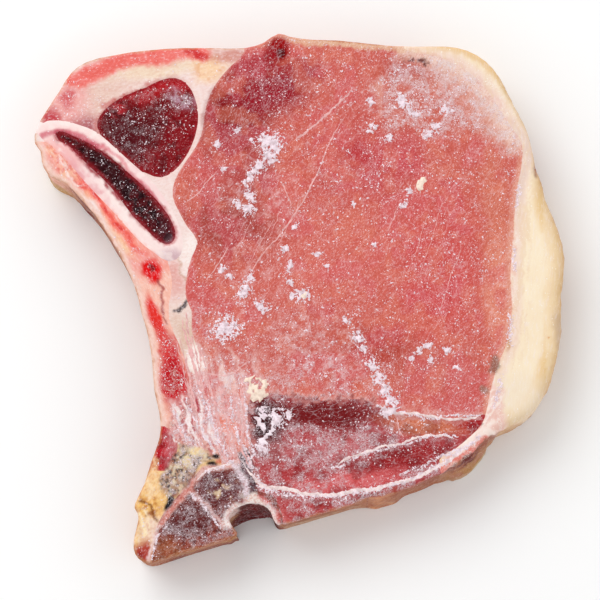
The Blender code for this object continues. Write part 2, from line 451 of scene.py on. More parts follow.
def make_skin():
    """Vertices and faces of the whole chop's surface, with the node that each face belongs to."""
    outline = chop_outline()
    count = len(outline)
    along = np.roll(outline, -2, axis=0) - np.roll(outline, 2, axis=0)
    outward = smoothed(np.column_stack([along[:, 1], -along[:, 0]]), 2)
    outward /= np.hypot(*outward.T)[:, None]
    lean = smoothed(lean_at(outline), 2)
    to_next_node = np.sort(node_distances(outline - 0.3 * outward), axis=1)[:, 1]
    radius = smoothed(np.minimum(rounding_at(outline), np.maximum(0.7 * to_next_node, 0.8)), 4)

    quarter = np.linspace(0.0, math.pi / 2, ARC_ROWS + 1)
    straight = np.linspace(0.0, 1.0, WALL_ROWS + 1)[1:-1]
    rows = [(1 - math.sin(a), 1 - math.cos(a), 0.0) for a in quarter]
    rows += [(0.0, 1.0, share) for share in straight]
    rows += [(1 - math.sin(a), -(1 - math.cos(a)), 1.0) for a in quarter[::-1]]
    walls = []
    for inset, drop, share in rows:
        depth = radius * drop + share * (THICKNESS - (2 * radius if 0 < share < 1 else 0))
        flat = outline + lean * (depth / THICKNESS - 0.5)[:, None] - outward * (radius * inset)[:, None]
        walls.append(np.column_stack([flat, THICKNESS - depth]))
    walls = np.array(walls)
    bare = smoothstep(0.3, 2.5, THICKNESS - walls[..., 2]) * smoothstep(0.0, 2.0, walls[..., 2])
    places = walls.reshape(-1, 3)
    dents = sum(noise(places, size, 21 + i, 2) * deep for i, (size, deep) in enumerate(DENTS))
    dents = (dents.reshape(bare.shape) - DENT_PUSH).clip(-DENT_MOST, 0.0) * bare
    walls[..., :2] += outward * dents[..., None]

    rim = walls[0, :, :2]
    grid = well_inside(hex_grid(rim.min(0), rim.max(0), SPACING, 1), rim, 0.4 * SPACING)
    grid = snapped_to_seams(grid)
    flat = np.concatenate([rim, grid])
    faces = triangulated(flat, [(i, (i + 1) % count) for i in range(count)])
    owner = np.argmin(node_distances(flat[faces].mean(1)), axis=1)
    depth = face_depth(flat, node_distances(flat))
    top = np.column_stack([flat, THICKNESS - depth])
    fade = smoothstep(4.0, 0.0, THICKNESS - walls[..., 2])
    walls[..., 2] -= depth[:count] * fade
    return top, walls, faces, owner


def make_pieces():
    """One closed mesh for each node, cut out of the skin, with straight sides where it meets the others."""
    top, walls, faces, owner = make_skin()
    ground = BVHTree.FromPolygons(top.tolist(), faces.tolist())
    rows, count = walls.shape[:2]
    faces = facing_up(top[:, :2], faces)
    pieces = {}
    for index, name in enumerate(NODES):
        mine = faces[owner == index]
        ends = np.concatenate([mine[:, [0, 1]], mine[:, [1, 2]], mine[:, [2, 0]]])
        known = {tuple(edge) for edge in ends.tolist()}
        border = [edge for edge in ends.tolist() if (edge[1], edge[0]) not in known]
        pieces[name] = close_piece(name, top, walls, mine, border, count, rows)
    return pieces, ground


def close_piece(name, top, walls, mine, border, count, rows):
    """A piece's mesh: its share of the face, of the wall and of the underside, and its hidden sides."""
    places = []
    number = {}

    def vertex(key, place):
        if key not in number:
            number[key] = len(places)
            places.append(place)
        return number[key]

    def on_top(i):
        return vertex(("top", i), top[i])

    def under(i):
        if i < count:
            return vertex(("wall", rows - 1, i), walls[rows - 1, i])
        return vertex(("under", i), (top[i, 0], top[i, 1], 0.0))

    def column(i):
        """A border vertex's way down, from the face to the underside."""
        if i >= count:
            return [on_top(i), under(i)]
        return [on_top(i)] + [vertex(("wall", row, i), walls[row, i]) for row in range(1, rows)]

    made = [tuple(on_top(i) for i in face) for face in mine.tolist()]
    for a, b in border:
        first, second = column(a), column(b)
        if a < count and b < count and (b - a) % count in (1, count - 1):
            for row in range(rows - 1):
                made.append((first[row], first[row + 1], second[row + 1], second[row]))
        else:
            made.append(tuple(first + second[::-1]))
    around = sorted({i for edge in border for i in edge})
    low = np.array([walls[rows - 1, i, :2] if i < count else top[i, :2] for i in around])
    local = {i: k for k, i in enumerate(around)}
    edges = [(local[a], local[b]) for a, b in border]
    starts = low[[e[0] for e in edges]]
    ends = low[[e[1] for e in edges]]
    inner = hex_grid(low.min(0), low.max(0), UNDER_SPACING, 2)
    inner = inner[signed_distance(inner, (starts, ends)) < -0.5 * UNDER_SPACING]
    flat = np.concatenate([low, inner])
    under_faces = triangulated(flat, edges)
    under_faces = facing_up(flat, under_faces)[:, ::-1]
    names = [under(i) for i in around]
    names += [vertex(("inner", k), (x, y, 0.0)) for k, (x, y) in enumerate(inner)]
    made += [tuple(names[i] for i in face) for face in under_faces.tolist()]
    mesh = bpy.data.meshes.new(name + "_skin")
    mesh.from_pydata((np.array(places) * MM).tolist(), [], made)
    return mesh


# ---- colours and frost, place by place

FACE_CENTRE = np.array((0.25, -2.0))


def srgb(red, green, blue):
    """A colour as the eye sees it, from 0 to 255, as light."""
    value = np.array([red, green, blue]) / 255.0
    return np.where(value <= 0.04045, value / 12.92, ((value + 0.055) / 1.055) ** 2.4)


class Paint:
    """Colour and frost at some places of one node.

    Its x and y are in mm from FACE_CENTRE, and shares run from 0 to 1. The painters give an oval as a row
    of blot's numbers, and a line as a row of stroke's.
    """

    def __init__(self, place):
        self.place = place
        self.depth = THICKNESS - place[:, 2]
        self.distances = node_distances(place)
        self.inset = -looked_up(EDGE_GRID, place)[:, 0]
        wander = noise_pair(place, 1.3, 31) * 0.35 + noise_pair(place, 6.0, 33) * 0.7
        self.flat = place[:, :2] - FACE_CENTRE + wander
        self.tint = np.zeros((len(place), 3))
        self.frost = np.zeros(len(place))

    def blot(self, x, y, wide, high=None, turn=0.0, soft=0.6):
        """An oval, 1 in the middle and 0 outside."""
        along, across = turned(*(self.flat - (x, y)).T, turn)
        return smoothstep(1.0 + soft, 1.0 - soft, np.hypot(along / wide, across / (high or wide)))

    def stroke(self, points, width, soft=0.6):
        """A line through some points, 1 within its width and 0 outside."""
        points = np.array(points, float)
        away = distance_to(self.flat, points[:-1], points[1:])
        return smoothstep(width * (1.0 + soft), width * (1.0 - soft), away)

    def area(self, points, soft=1.0):
        """1 inside an outline and 0 outside."""
        away = signed_distance(self.flat, stretches_of([np.array(points, float)]))
        return smoothstep(soft, -soft, away)

    def beside(self, node, near, far, rough=0.35):
        """A band beside another node, 1 up to the near distance and 0 beyond the far one."""
        away = self.distances[:, NODES.index(node)] + rough * noise(self.place, 1.5, 35, 2)
        return smoothstep(far, near, away)

    def within(self, node, near, far, rough=0.3):
        """The inner part of a node, 0 nearer to its border than the near distance."""
        away = -self.distances[:, NODES.index(node)] + rough * noise(self.place, 1.5, 36, 2)
        return smoothstep(near, far, away)

    def patchy(self, size, seed, low=0.0, high=0.6):
        """Ragged patches of about a size. They are fewer and smaller with a higher low and high."""
        return smoothstep(low, high, noise(self.place, size, seed, 2))

    def streaks(self, turn, width, length, seed):
        """Long pale strands that run at an angle."""
        along, across = turned(*self.flat.T, turn)
        return smoothstep(0.0, 0.5, noise(np.column_stack([along / length, across / width]), 1.0, seed, 2))

    def rim(self, near, far, rough=0.3):
        """A band along the chop's outer edge, 1 up to the near distance and 0 beyond the far one."""
        return smoothstep(far, near, self.inset + rough * noise(self.place, 1.5, 39, 2))

    def frost_zone(self):
        """Where the frost lies thickest on the eye."""
        zone = self.blot(3, -15, 14, 13) + self.blot(36, 54, 18, 9) + self.blot(-12, 20, 10, 20)
        return np.clip(zone, 0.0, 1.0)

    def side(self, start=1.3, end=2.6):
        """The outer wall, away from the cut face."""
        outer = smoothstep(6.0, 3.0, self.inset)
        return outer * smoothstep(start, end, self.depth + 0.4 * noise(self.place, 2.0, 37, 2))

    def fill(self, colour, frost):
        """The node's first colour and frost, everywhere."""
        self.tint[:] = srgb(*colour)
        self.frost[:] = frost

    def shares(self, where):
        """The shares for an oval or a line. Shares that are worked out already stay as they are."""
        if isinstance(where, tuple):
            return self.stroke(*where) if isinstance(where[0], list) else self.blot(*where)
        return where

    def layers(self, rows):
        """Lays colours over each other. A row says where, which colour, and how strong if that isn't 1."""
        for where, colour, *strength in rows:
            share = np.clip(self.shares(where) * (strength or [1.0])[0], 0.0, 1.0)[:, None]
            self.tint = self.tint * (1.0 - share) + srgb(*colour) * share

    def frosts(self, rows):
        """Changes the frost in turn. A row says where, and how densely the frost lies there."""
        for where, density in rows:
            share = self.shares(where)
            self.frost = self.frost * (1.0 - share) + density * share


def paint_dry_edge(p):
    """The thin dried line round the cut face."""
    p.layers([
        (p.rim(0.1, 0.9), (206, 150, 108), 0.6), (p.rim(-0.1, 0.35), (160, 98, 60), 0.5),
    ])


BACKBONE_RIM = [
    (-35.1, -58), (-32.5, -54.4), (-29.3, -50.7), (-27.1, -47.6), (-24.4, -44.8), (-21.7, -44.1),
    (-18.1, -43), (-16.8, -42.1),
]
NOTCH_FASCIA = [(-17.3, -43), (-15.5, -45.7), (-13.9, -48.9), (-13.7, -52.5), (-13, -54.4)]
NOTCH_RIM = [
    (-18.8, -59), (-18.0, -56.4), (-15.4, -54.4), (-12.5, -53.6), (-9.4, -54.0), (-7.2, -55.8),
    (-6.2, -59),
]


def paint_ragged_corner(p):
    """Torn fat and dark gaps between the backbone, the side and the eye, over the nodes that meet there."""
    fibrous = p.area([
        (-33, -27), (-29, -24), (-24, -26), (-19, -30), (-17, -38), (-18, -42), (-23, -41), (-27, -40),
        (-31, -41), (-33, -37),
    ], 1.2)
    torn = p.area([
        (-35.8, -45.7), (-34.3, -43.9), (-32.5, -40.5), (-31, -38.5), (-28, -39), (-24.4, -39.5),
        (-22.6, -41.6), (-25.8, -43.5), (-28, -46.2), (-29.3, -49.8), (-33.4, -51.6), (-35.1, -49.8),
    ], 0.7)
    gap = p.area([
        (-16.6, -39.5), (-13.0, -40), (-11.8, -45), (-11.2, -50), (-14.4, -50.5), (-15.8, -46),
    ], 0.9)
    gristle = p.area([
        (-14.4, -53), (-13.8, -50.2), (-11.2, -49.4), (-9.9, -51.6), (-8.2, -54.2), (-9.5, -55.2),
        (-12.5, -55), (-16.5, -55.6),
    ], 0.6)
    corner_fat = p.area([(-39.8, -41.5), (-37.6, -40.8), (-35.6, -45.8), (-39.5, -46.5)], 0.5)
    p.layers([
        (fibrous, (224, 164, 160), 0.85), (fibrous * p.patchy(0.7, 68, 0.05, 0.4), (172, 76, 82), 0.75),
        (p.area([(-29.4, -25), (-27.2, -25), (-25.4, -35), (-26.8, -38)], 0.7), (176, 50, 64), 0.9),
        (p.streaks(-70, 0.45, 5, 43) * fibrous, (252, 240, 238), 0.95),
        ((-19.4, -33.5, 1.9, 4.8, 17), (238, 146, 126), 0.85), (torn, (176, 142, 120), 0.9),
        (torn * p.patchy(0.5, 57, 0.05, 0.35), (56, 46, 48), 0.9),
        (torn * p.patchy(0.9, 58, 0.2, 0.5), (236, 220, 188), 0.7),
        ((-27.2, -40, 2.8, 1.2, 10, 0.4), (246, 222, 170), 0.9),
        ((-29.5, -43, 1.2, 1, 0, 0.4), (244, 222, 172), 0.8),
        ((-33.6, -53.2, 0.9, 2, -14, 0.3), (22, 20, 28)), ((-28, -46.8, 0.7, 2.6, -35), (120, 36, 58), 0.8),
        ((-22, -40.7, 0.8, 0.7, 0, 0.4), (28, 12, 16)), ((-22.6, -43, 1.2, 0.7, 0, 0.4), (28, 12, 16)),
        ((-21.2, -42, 0.9, 0.7, 0, 0.4), (212, 120, 98), 0.9), (gap, (104, 74, 84), 0.9),
        (gap * p.patchy(0.6, 63, -0.1, 0.3), (46, 26, 38), 0.9),
        ((BACKBONE_RIM, 0.9), (226, 180, 172), 0.95), ((BACKBONE_RIM[:4], 0.6), (206, 116, 102), 0.6),
        ((NOTCH_FASCIA, 0.8), (230, 208, 212), 0.85),
        (corner_fat, (242, 200, 148), 0.95),
        (p.area([(-38.5, -57), (-35.3, -58.5), (-36, -62), (-38.5, -64.5)], 0.5), (242, 214, 192), 0.9),
        (([(-35.6, -59), (-36.3, -61.2), (-37.4, -64.8), (-38.5, -68.5)], 0.5), (238, 210, 206), 0.9),
        (gristle, (244, 230, 220), 0.95),
    ])
    p.frosts([
        (fibrous, 0.85), (torn, 0.85), (gap, 0.9), ((BACKBONE_RIM, 1), 0.3), ((NOTCH_FASCIA, 1.2), 1),
        (gristle, 0.5),
    ])


def paint_loin_eye(p):
    p.fill((206, 101, 89), 0.4)
    top_right = [
        (24, 47), (20, 58), (28, 67), (46, 67), (54, 60), (60, 50), (60, 42), (57, 40.5), (52, 43),
        (46, 45.3), (36, 45),
    ]
    ragged_top = p.area(top_right, 2.4)
    stain = p.stroke([(28, 64.3), (31, 64.7), (33.5, 64.3)], 0.6) * p.patchy(0.8, 97, -0.4, 0.1)
    p.layers([
        ((10, 12, 16, 12, 30), (212, 108, 96)), ((36, 8, 11, 18), (209, 88, 84)),
        ((15, 38, 16, 11, 40), (200, 88, 84), 0.85), ((24, 37, 9, 6, 30), (198, 74, 80), 0.7),
        ((-16, 38, 8, 12, 20), (178, 72, 70), 0.85), ((-19, 20, 8, 12, 70), (164, 66, 60), 0.85),
        ((-12, 31, 3, 9, -30), (165, 66, 64), 0.5), ((1, -12, 14, 9), (202, 104, 94), 0.7),
        ((22, -13, 12, 5, -20), (180, 66, 54), 0.85), ((36, -20, 11, 8), (204, 104, 92), 0.8),
        ((-17, 51, 9, 9), (136, 18, 26)), ((-7, 57, 10, 6, 20), (152, 22, 38)),
        ((-11, 64, 8, 3.5, 10), (160, 36, 44)), ((2, 62, 4, 4), (170, 56, 66), 0.8),
        ((52, 26, 4, 18, 5), (214, 124, 102), 0.8), ((52.5, 2, 3.5, 14, 3), (228, 146, 122), 0.85),
        ((-21, -27, 9, 9), (222, 150, 143), 0.8), ((-14, -33, 3.5, 8, 10), (232, 148, 128), 0.8),
        (p.streaks(-72, 1, 8, 43) * p.blot(-21, -28, 11, 16), (246, 224, 218), 0.8),
        ((-27.3, -17, 2, 4.6, 10), (250, 238, 232)),
        (p.streaks(-72, 1.2, 6, 62) * p.blot(-23, -20, 7, 14), (204, 112, 104), 0.6),
        (p.patchy(6, 41), (212, 92, 104), 0.35), (p.patchy(4, 42), (222, 128, 104), 0.35),
        (p.beside("tenderloin", 0.4, 2.4, 1.6), (230, 182, 174), 0.5),
        (p.beside("tenderloin", -0.2, 1, 2.4) * p.blot(6, -27, 14, 4), (140, 44, 46), 0.85),
        (p.beside("back_fat", 0.3, 2.4), (230, 168, 146), 0.8),
        (p.beside("seam_fat", 0, 0.7), (226, 160, 150), 0.7),
        (p.beside("seam_fat", 0.3, 1.2) * p.blot(-23, 47, 3, 8), (150, 50, 52), 0.85),
        (ragged_top, (204, 106, 90), 0.9), (ragged_top * p.beside("back_fat", 2, 12), (226, 176, 160), 0.85),
        (ragged_top * p.beside("back_fat", 0.4, 5.5), (238, 208, 192), 0.95),
        ((28, 62, 7, 3), (184, 70, 62), 0.75), ((15, 40, 3, 3), (188, 54, 62), 0.8),
        (p.patchy(1.3, 65, 0.1, 0.7) * p.frost_zone(), (232, 186, 184), 0.4),
        ((51.2, -17, 1.3, 2.5, -10, 0.3), (140, 100, 84), 0.8),
        ((48.4, -24, 1.3, 1.2, 0, 0.4), (150, 112, 94), 0.8),
    ])
    paint_ragged_corner(p)
    p.layers([
        (p.rim(1.1, 2.2, 0.6) * p.blot(17, 70, 22, 7), (230, 192, 160), 0.85),
        (p.rim(0.2, 0.9) * p.blot(13, 70, 9, 6), (184, 108, 60), 0.85),
        (stain, (88, 18, 18), 0.9),
        ((-5.8, 68, 3.2, 3.6, 0, 0.35), (152, 2, 6)), ((-5.4, 66.6, 1.2, 1.5, 0, 0.4), (92, 2, 8)),
        ((-7.5, 65.5, 1.6, 2), (150, 20, 32), 0.8), (p.side(), (204, 146, 112)),
        (p.side(5, 12) * p.patchy(4, 93, -0.3, 0.4), (176, 92, 74), 0.7),
    ])
    p.frosts([
        (p.area(top_right, 3), 0.95), ((30.5, 64.4, 4, 1.3), 0.1), ((-2, 58, 14, 9), 0.5),
        ((-5.8, 67, 3.8, 4.6), 0.04), ((-19, 50, 8, 8), 0.2), ((-15, 20, 12, 12), 0.3),
        ((36, 10, 14, 12), 0.5), ((4, 30, 12, 8, 40), 0.5), ((50, 24, 6, 16), 0.3), ((2, -12, 9, 9), 0.65),
        ((4, -22, 18, 6), 0.7), ((-20, -30, 11, 14), 0.95), ((-25, -10, 5, 14), 0.6), ((20, 36, 8, 6), 0.55),
        (p.side(), 0.1),
    ])


def paint_back_fat(p):
    p.fill((246, 227, 197), 0.25)
    tail = p.area([(49, -22), (53, -24), (53, -34), (49, -41), (38, -48), (30, -48), (44, -36)], 1.2)
    outer = smoothstep(3.0, 7.0, p.distances[:, NODES.index("loin_eye")]) * (1 - tail)
    # The crevice in the membrane's folds on the wall is not modelled. A dark line and a patchy dark band
    # there are painted shade of the crevice, over its dark red.
    crevice_line_shade = p.stroke([(35, -48), (41, -45.6), (46, -42.4), (49, -40)], 1.3) * p.side(0.6, 1.2)
    crevice_band_shade = p.blot(45, -44, 9, 6, 28) * p.side(1.6, 2.4) * (1 - p.side(8.0, 12.0))
    p.layers([
        # After the paler patches, the tan bands darken in steps towards the rounded outer edge. They are
        # painted shade where the fat rounds over.
        (p.patchy(5, 45), (250, 236, 210), 0.35), (p.rim(3.6, 6) * outer, (234, 200, 148), 0.9),
        (p.rim(1.8, 4.2) * outer, (224, 190, 138), 0.85),
        (p.rim(0.4, 2.4) * (1 - tail), (216, 177, 126), 0.8), (p.rim(-0.1, 0.8), (190, 138, 90), 0.8),
        (p.beside("loin_eye", 1.5, 4), (241, 216, 200)),
        (p.beside("loin_eye", 0.3, 1.3, 1), (232, 184, 164), 0.7),
        (p.beside("loin_eye", 0.4, 2) * p.blot(48, 56, 12, 12, -40), (233, 200, 188), 0.9),
        (p.beside("loin_eye", 1, 3) * p.blot(59, 38, 5, 14), (226, 200, 186), 0.85),
        (p.streaks(84, 0.5, 9, 69) * p.beside("loin_eye", 3.5, 6.5), (234, 204, 172), 0.5),
        # Tan band along the top edge, painted shade where the fat rounds over.
        (p.rim(0.8, 2.4) * p.blot(46, 65, 13, 6), (236, 200, 150), 0.7),
        ((57, -26, 7, 6), (241, 224, 200), 0.8), ((68.5, -9, 1.8, 5), (204, 176, 146), 0.8),
        (tail, (234, 190, 178), 0.95), (p.streaks(50, 0.7, 4, 66) * tail, (248, 230, 220), 0.85),
        (([(32, -46.4), (38, -43.6), (44, -40.6), (48.5, -37)], 0.8), (222, 110, 98), 0.9),
        (([(40, -41.2), (46.8, -36.4), (50, -32)], 0.5), (246, 226, 216), 0.9),
        (([(36, -46), (42, -43.3), (47.5, -39.5)], 0.45), (126, 30, 30), 0.9),
        ((45.2, -33.4, 1.8, 1, 25), (200, 62, 58), 0.9), ((46.8, -32.7, 0.7, 0.5, 0, 0.4), (120, 18, 24)),
        ((55.6, 16.6, 0.35, 0.4, 0, 0.4), (206, 110, 60)),
        ((55.1, -1.8, 0.7, 0.5, -30, 0.5), (196, 112, 62)), ((64.4, -9.1, 0.3, 0.3, 0, 0.5), (216, 150, 80)),
        ((54.8, -12, 0.5, 1.6, 0, 0.5), (204, 146, 96), 0.8),
        ((51.2, -17, 1.3, 2.5, -10, 0.3), (128, 96, 78), 0.8), (p.side(6, 9), (214, 176, 128), 0.8),
        (p.blot(61.8, 35, 1.2, 2.2, -15) * p.side(0.7, 1.3), (128, 28, 34), 0.9),
        (p.blot(45, -41, 8, 6) * p.side(0.9, 1.6), (160, 92, 60)),
        # Painted shade of the crevice's line, over its dark red.
        (crevice_line_shade, (78, 20, 22), 0.95),
        (p.blot(45, -41, 9, 8) * p.side(8, 10), (180, 128, 70), 0.95),
        # The next two rows are painted shade of the crevice, over its dark red.
        (crevice_band_shade * p.patchy(1.6, 98, -0.5, 0), (104, 14, 8), 0.95),
        (p.blot(50.5, -41, 3.5, 5) * p.side(1.6, 2.4) * (1 - p.side(5, 13)), (112, 26, 16), 0.8),
        (p.blot(45, -43, 12, 7) * p.patchy(3, 99, -0.3, 0.5) * p.side(7, 12), (168, 96, 74), 0.8),
        (p.blot(45, -41, 9, 8) * p.side(15.8, 17), (206, 186, 160), 0.9),
    ])
    p.frosts([
        ((60, 8, 8, 16), 0.45), (p.beside("loin_eye", 0.5, 2.5), 0.6), ((47, 53, 9, 9, -40), 0.8),
        (tail, 0.7), (p.side(), 0.05),
    ])


def paint_cap_muscle(p):
    p.fill((110, 6, 16), 0.45)
    upper_edge = p.stroke([(-49, 51), (-42, 55.5), (-36, 58.5), (-30, 58.5)], 1.6)
    p.layers([
        ((-46, 43, 6, 9, 30), (84, 12, 22)), ((-37, 47, 5, 4, 20), (90, 8, 18), 0.8),
        ((-31, 43, 5, 11), (136, 10, 22)), ((-38, 36, 6, 5, -30), (132, 16, 26)),
        (p.patchy(2, 46), (76, 6, 14), 0.6), ((-37, 57.5, 8, 3, 22), (168, 14, 24)),
        (upper_edge * p.patchy(1.4, 96, -0.4, 0.3), (184, 40, 48), 0.7),
        (1 - p.within("cap_muscle", 0.1, 1.1), (160, 30, 40), 0.6),
        (p.blot(-31.5, 54.5, 3.8, 2.6, -25) * p.patchy(1, 70, -0.7, 0.2), (190, 150, 168), 0.75),
    ])
    p.frosts([
        ((-46, 44, 6, 10, 30), 0.5), ((-40, 54, 8, 4, 20), 0.55), ((-31.5, 54, 4, 3), 0.85),
        ((-30, 42, 4, 10), 0.35),
    ])


def paint_rib_marrow(p):
    p.fill((112, 16, 26), 0.35)
    p.layers([
        (p.within("rib_marrow", 0.6, 1.8), (78, 12, 20)),
        (p.patchy(1.2, 47, 0, 0.4) * p.within("rib_marrow", 0.4, 1.4), (24, 6, 12), 0.85),
        ((-51, 36.5, 8, 3, -45), (52, 8, 16), 0.8), ((-34, 18, 3.5, 6, 30), (70, 34, 44), 0.4),
        ((-32.5, 13.5, 3.2, 2.4), (150, 128, 140), 0.8),
        (1 - p.within("rib_marrow", 0.1, 0.8), (150, 40, 50), 0.7),
    ])


def paint_rib_bone(p):
    p.fill((246, 222, 218), 0.06)
    p.layers([
        ((-60, 41, 8, 4, -20), (240, 178, 176), 0.8), ((-40, 33, 18, 3, -52), (240, 205, 204), 0.6),
        (p.beside("rib_marrow", 0.2, 1, 0.7), (188, 70, 80), 0.75),
        (p.beside("rib_marrow", 0.3, 1.3, 0.9) * p.blot(-50, 36, 16, 8, -45), (156, 46, 58), 0.85),
        (p.beside("cap_muscle", 0.1, 1), (238, 200, 196), 0.5),
        (p.beside("rib_strip", 0, 0.9), (244, 168, 158), 0.6),
        (p.beside("rib_strip", 0.8, 3, 0.8) * p.blot(-55, 33, 9, 4, -48), (224, 146, 154), 0.75),
        ((-33, 11, 5, 2.6, 20), (206, 172, 178), 0.95), (p.patchy(2, 48), (250, 234, 228), 0.5),
        (([(-68, 44), (-64, 45), (-58, 43.5), (-52.4, 41)], 0.9), (206, 96, 112), 0.8),
        (([(-52.4, 41), (-46.3, 35.6), (-40.2, 29.9), (-35.4, 23.6)], 0.5), (222, 130, 138), 0.75),
        (([(-57, 39.8), (-52, 37.5), (-48, 34)], 0.7), (140, 38, 50), 0.8),
        (p.side(1.2, 2.4), (226, 182, 160), 0.9), (p.side(4, 9), (190, 140, 110), 0.7),
    ])
    p.frosts([((-60, 43, 8, 3, -15), 0.3), ((-34, 11, 5, 3), 0.4)])


def paint_rib_strip(p):
    p.fill((244, 190, 172), 0.12)
    yolk = [(-66, 40), (-58, 29.5), (-52.5, 23.5), (-49, 18), (-45, 13.8), (-42, 11)]
    streak = [
        (-64, 40.5), (-60.3, 35), (-57.5, 31), (-54.5, 27.7), (-51, 23.4), (-47.7, 19.7), (-44, 16),
        (-40, 13),
    ]
    p.layers([
        (p.beside("rib_bone", 2, 4), (244, 160, 146), 0.7), ((yolk, 1), (246, 202, 160), 0.75),
        ((streak, 1.5), (245, 142, 126), 0.8), ((streak, 0.8), (238, 100, 88), 0.9),
        (p.stroke(streak, 0.4) * p.patchy(2, 49, -0.4, 0.2), (214, 44, 40), 0.8),
        (([(-56, 26), (-51, 18.5), (-47.3, 11.5), (-45, 6)], 1), (242, 226, 224), 0.9),
        ((-60, 36, 4, 3, -40), (246, 196, 170), 0.8), ((-66, 36, 3, 3), (240, 158, 148), 0.8),
        (p.patchy(0.9, 94, 0, 0.4) * p.blot(-61, 36, 8, 4, -45), (222, 84, 84), 0.6),
        (p.streaks(-48, 0.6, 5, 95) * p.blot(-59, 34, 10, 5, -45), (252, 236, 230), 0.7),
        ((-65.5, 33, 2.2, 4.5, 30, 0.4), (236, 190, 176), 0.9), ((-41, 10, 5, 4), (238, 156, 148), 0.8),
        ((-38.4, 8, 2.5, 3.1, 20, 0.35), (222, 14, 20)), ((-38.3, 8.8, 0.8, 1, 0, 0.4), (140, 6, 14)),
        (([(-37, 6), (-35.6, 4), (-35.8, -2), (-34.5, -7)], 0.35), (158, 44, 50), 0.75),
        ((-38, -4.5, 1.9, 6.2, 18, 0.4), (226, 50, 42)), ((-33.2, -20, 3.4, 11, 12, 0.35), (204, 36, 44)),
        ((-36.3, -12, 1.4, 5, 20), (214, 60, 58), 0.9), ((-33.4, -20, 2, 5, 10), (180, 14, 24), 0.8),
        (p.rim(0.9, 2.2), (240, 206, 194), 0.85),
    ])
    paint_ragged_corner(p)
    paint_dry_edge(p)
    p.layers([
        (p.side(1.2, 2.2), (214, 160, 132)), (p.side(3, 6), (166, 104, 84)),
        (p.patchy(3, 50) * p.side(2, 4), (120, 48, 52), 0.8),
        (p.blot(-68, 34, 7, 9) * p.side(0.8, 1.6), (232, 172, 152)),
        (p.blot(-68, 34, 7, 9) * p.side(9, 13), (190, 150, 92), 0.9),
        (p.blot(-57, 27, 4, 5) * p.side(1.5, 2.5), (104, 34, 44), 0.8),
    ])
    p.frosts([
        ((-34, -18, 4, 10, 12), 0.6), ((-62, 38, 6, 5), 0.3), ((-38.4, 8, 3, 3.6), 0.04), (p.side(), 0.05),
    ])


def paint_seam_fat(p):
    p.fill((240, 217, 211), 0.1)
    band = p.stroke([(-60, 60), (-52, 63), (-44, 65.5), (-33, 67.5), (-26, 68)], 2.6, 0.5)
    p.layers([
        ((-55, 56, 12, 6, 20), (228, 194, 180), 0.9), ((-38, 62.5, 12, 2.6, 8), (238, 214, 188), 0.9),
        ((-57, 47, 9, 4, -20), (168, 74, 84), 0.9), ((-62, 54, 5, 7, -30), (236, 168, 164), 0.9),
        ((-24, 63, 5, 4), (244, 206, 166), 0.9),
        (p.patchy(1.6, 51) * p.blot(-23, 63, 5, 4), (226, 160, 110), 0.6), (band, (236, 118, 110)),
        (band * p.patchy(3, 52, -0.1, 0.5), (230, 104, 96), 0.8),
        ((-27, 67, 3.5, 1.2, -10), (206, 44, 48), 0.9), ((-67, 49.5, 2.8, 3.2, 30), (192, 44, 60), 0.9),
        ((-62, 54.5, 1.6, 2), (206, 76, 84), 0.8), ((-18, 67, 5, 2.2), (206, 130, 116), 0.8),
        (p.beside("cap_muscle", 0.2, 1.8), (234, 200, 192), 0.6),
        (p.beside("cap_muscle", 0.3, 1.6, 1.2) * p.blot(-45, 52, 12, 7, 25), (196, 84, 80), 0.8),
        (([(-37, 26), (-31, 12), (-29, 0)], 0.35), (196, 160, 132), 0.8),
        ((-28, 13, 2.5, 6), (248, 236, 230), 0.8), ((-29, -12, 4, 10, 15), (220, 188, 166), 0.9),
        ((-27.3, -17, 2, 4.6, 10), (250, 238, 232)),
        (p.beside("loin_eye", 0.6, 1.4) * p.blot(-23, 47, 3, 8), (156, 58, 58), 0.9),
        ((-32.5, 6, 2.2, 5), (222, 150, 140), 0.7),
        (([(-32.4, -2.4), (-30, -0.4)], 0.35, 0.4), (40, 30, 40), 0.9), (p.side(1.2, 2.2), (206, 150, 112)),
        (p.side(3, 6), (196, 116, 96), 0.8),
    ])
    paint_dry_edge(p)
    p.frosts([((-58, 52, 9, 8), 0.45), ((-28, -10, 4, 12), 0.35), (p.side(), 0.05)])


def paint_tenderloin(p):
    p.fill((182, 74, 78), 0.8)
    p.layers([
        ((5, -30, 18, 4, -2), (118, 24, 28)), ((-8.5, -33, 4.5, 7), (58, 12, 20)),
        ((-3, -46, 6, 4), (176, 56, 60), 0.9), ((-7, -40, 4, 4), (190, 110, 112), 0.7),
        ((12, -39, 14, 3.5, 8), (194, 106, 110), 0.8), ((24, -43, 14, 4, 20), (154, 34, 38), 0.95),
        ((34, -33, 11, 2.6, -6), (216, 130, 98), 0.95), ((43, -33, 4, 2.2), (178, 56, 50), 0.9),
        ((46.5, -33.5, 3, 2.6), (168, 28, 36), 0.9), ((12, -48, 16, 2.5, 8), (222, 106, 108), 0.85),
        (p.patchy(3, 53), (110, 28, 34), 0.4), (p.beside("loin_eye", 0, 1.3, 1.8), (206, 140, 136), 0.7),
    ])
    paint_ragged_corner(p)
    paint_dry_edge(p)
    p.layers([
        (p.side(1.3, 2.2), (176, 92, 76)), (p.side(4, 8), (138, 70, 48), 0.8),
    ])
    p.frosts([
        ((6, -30, 14, 3), 0.2), ((-8, -33, 4, 6), 0.5), ((10, -38, 16, 4), 0.95),
        ((25, -43, 12, 3, 20), 0.3), ((34, -34, 10, 3), 0.35), ((44, -34, 6, 4), 0.3), (p.side(), 0.1),
    ])


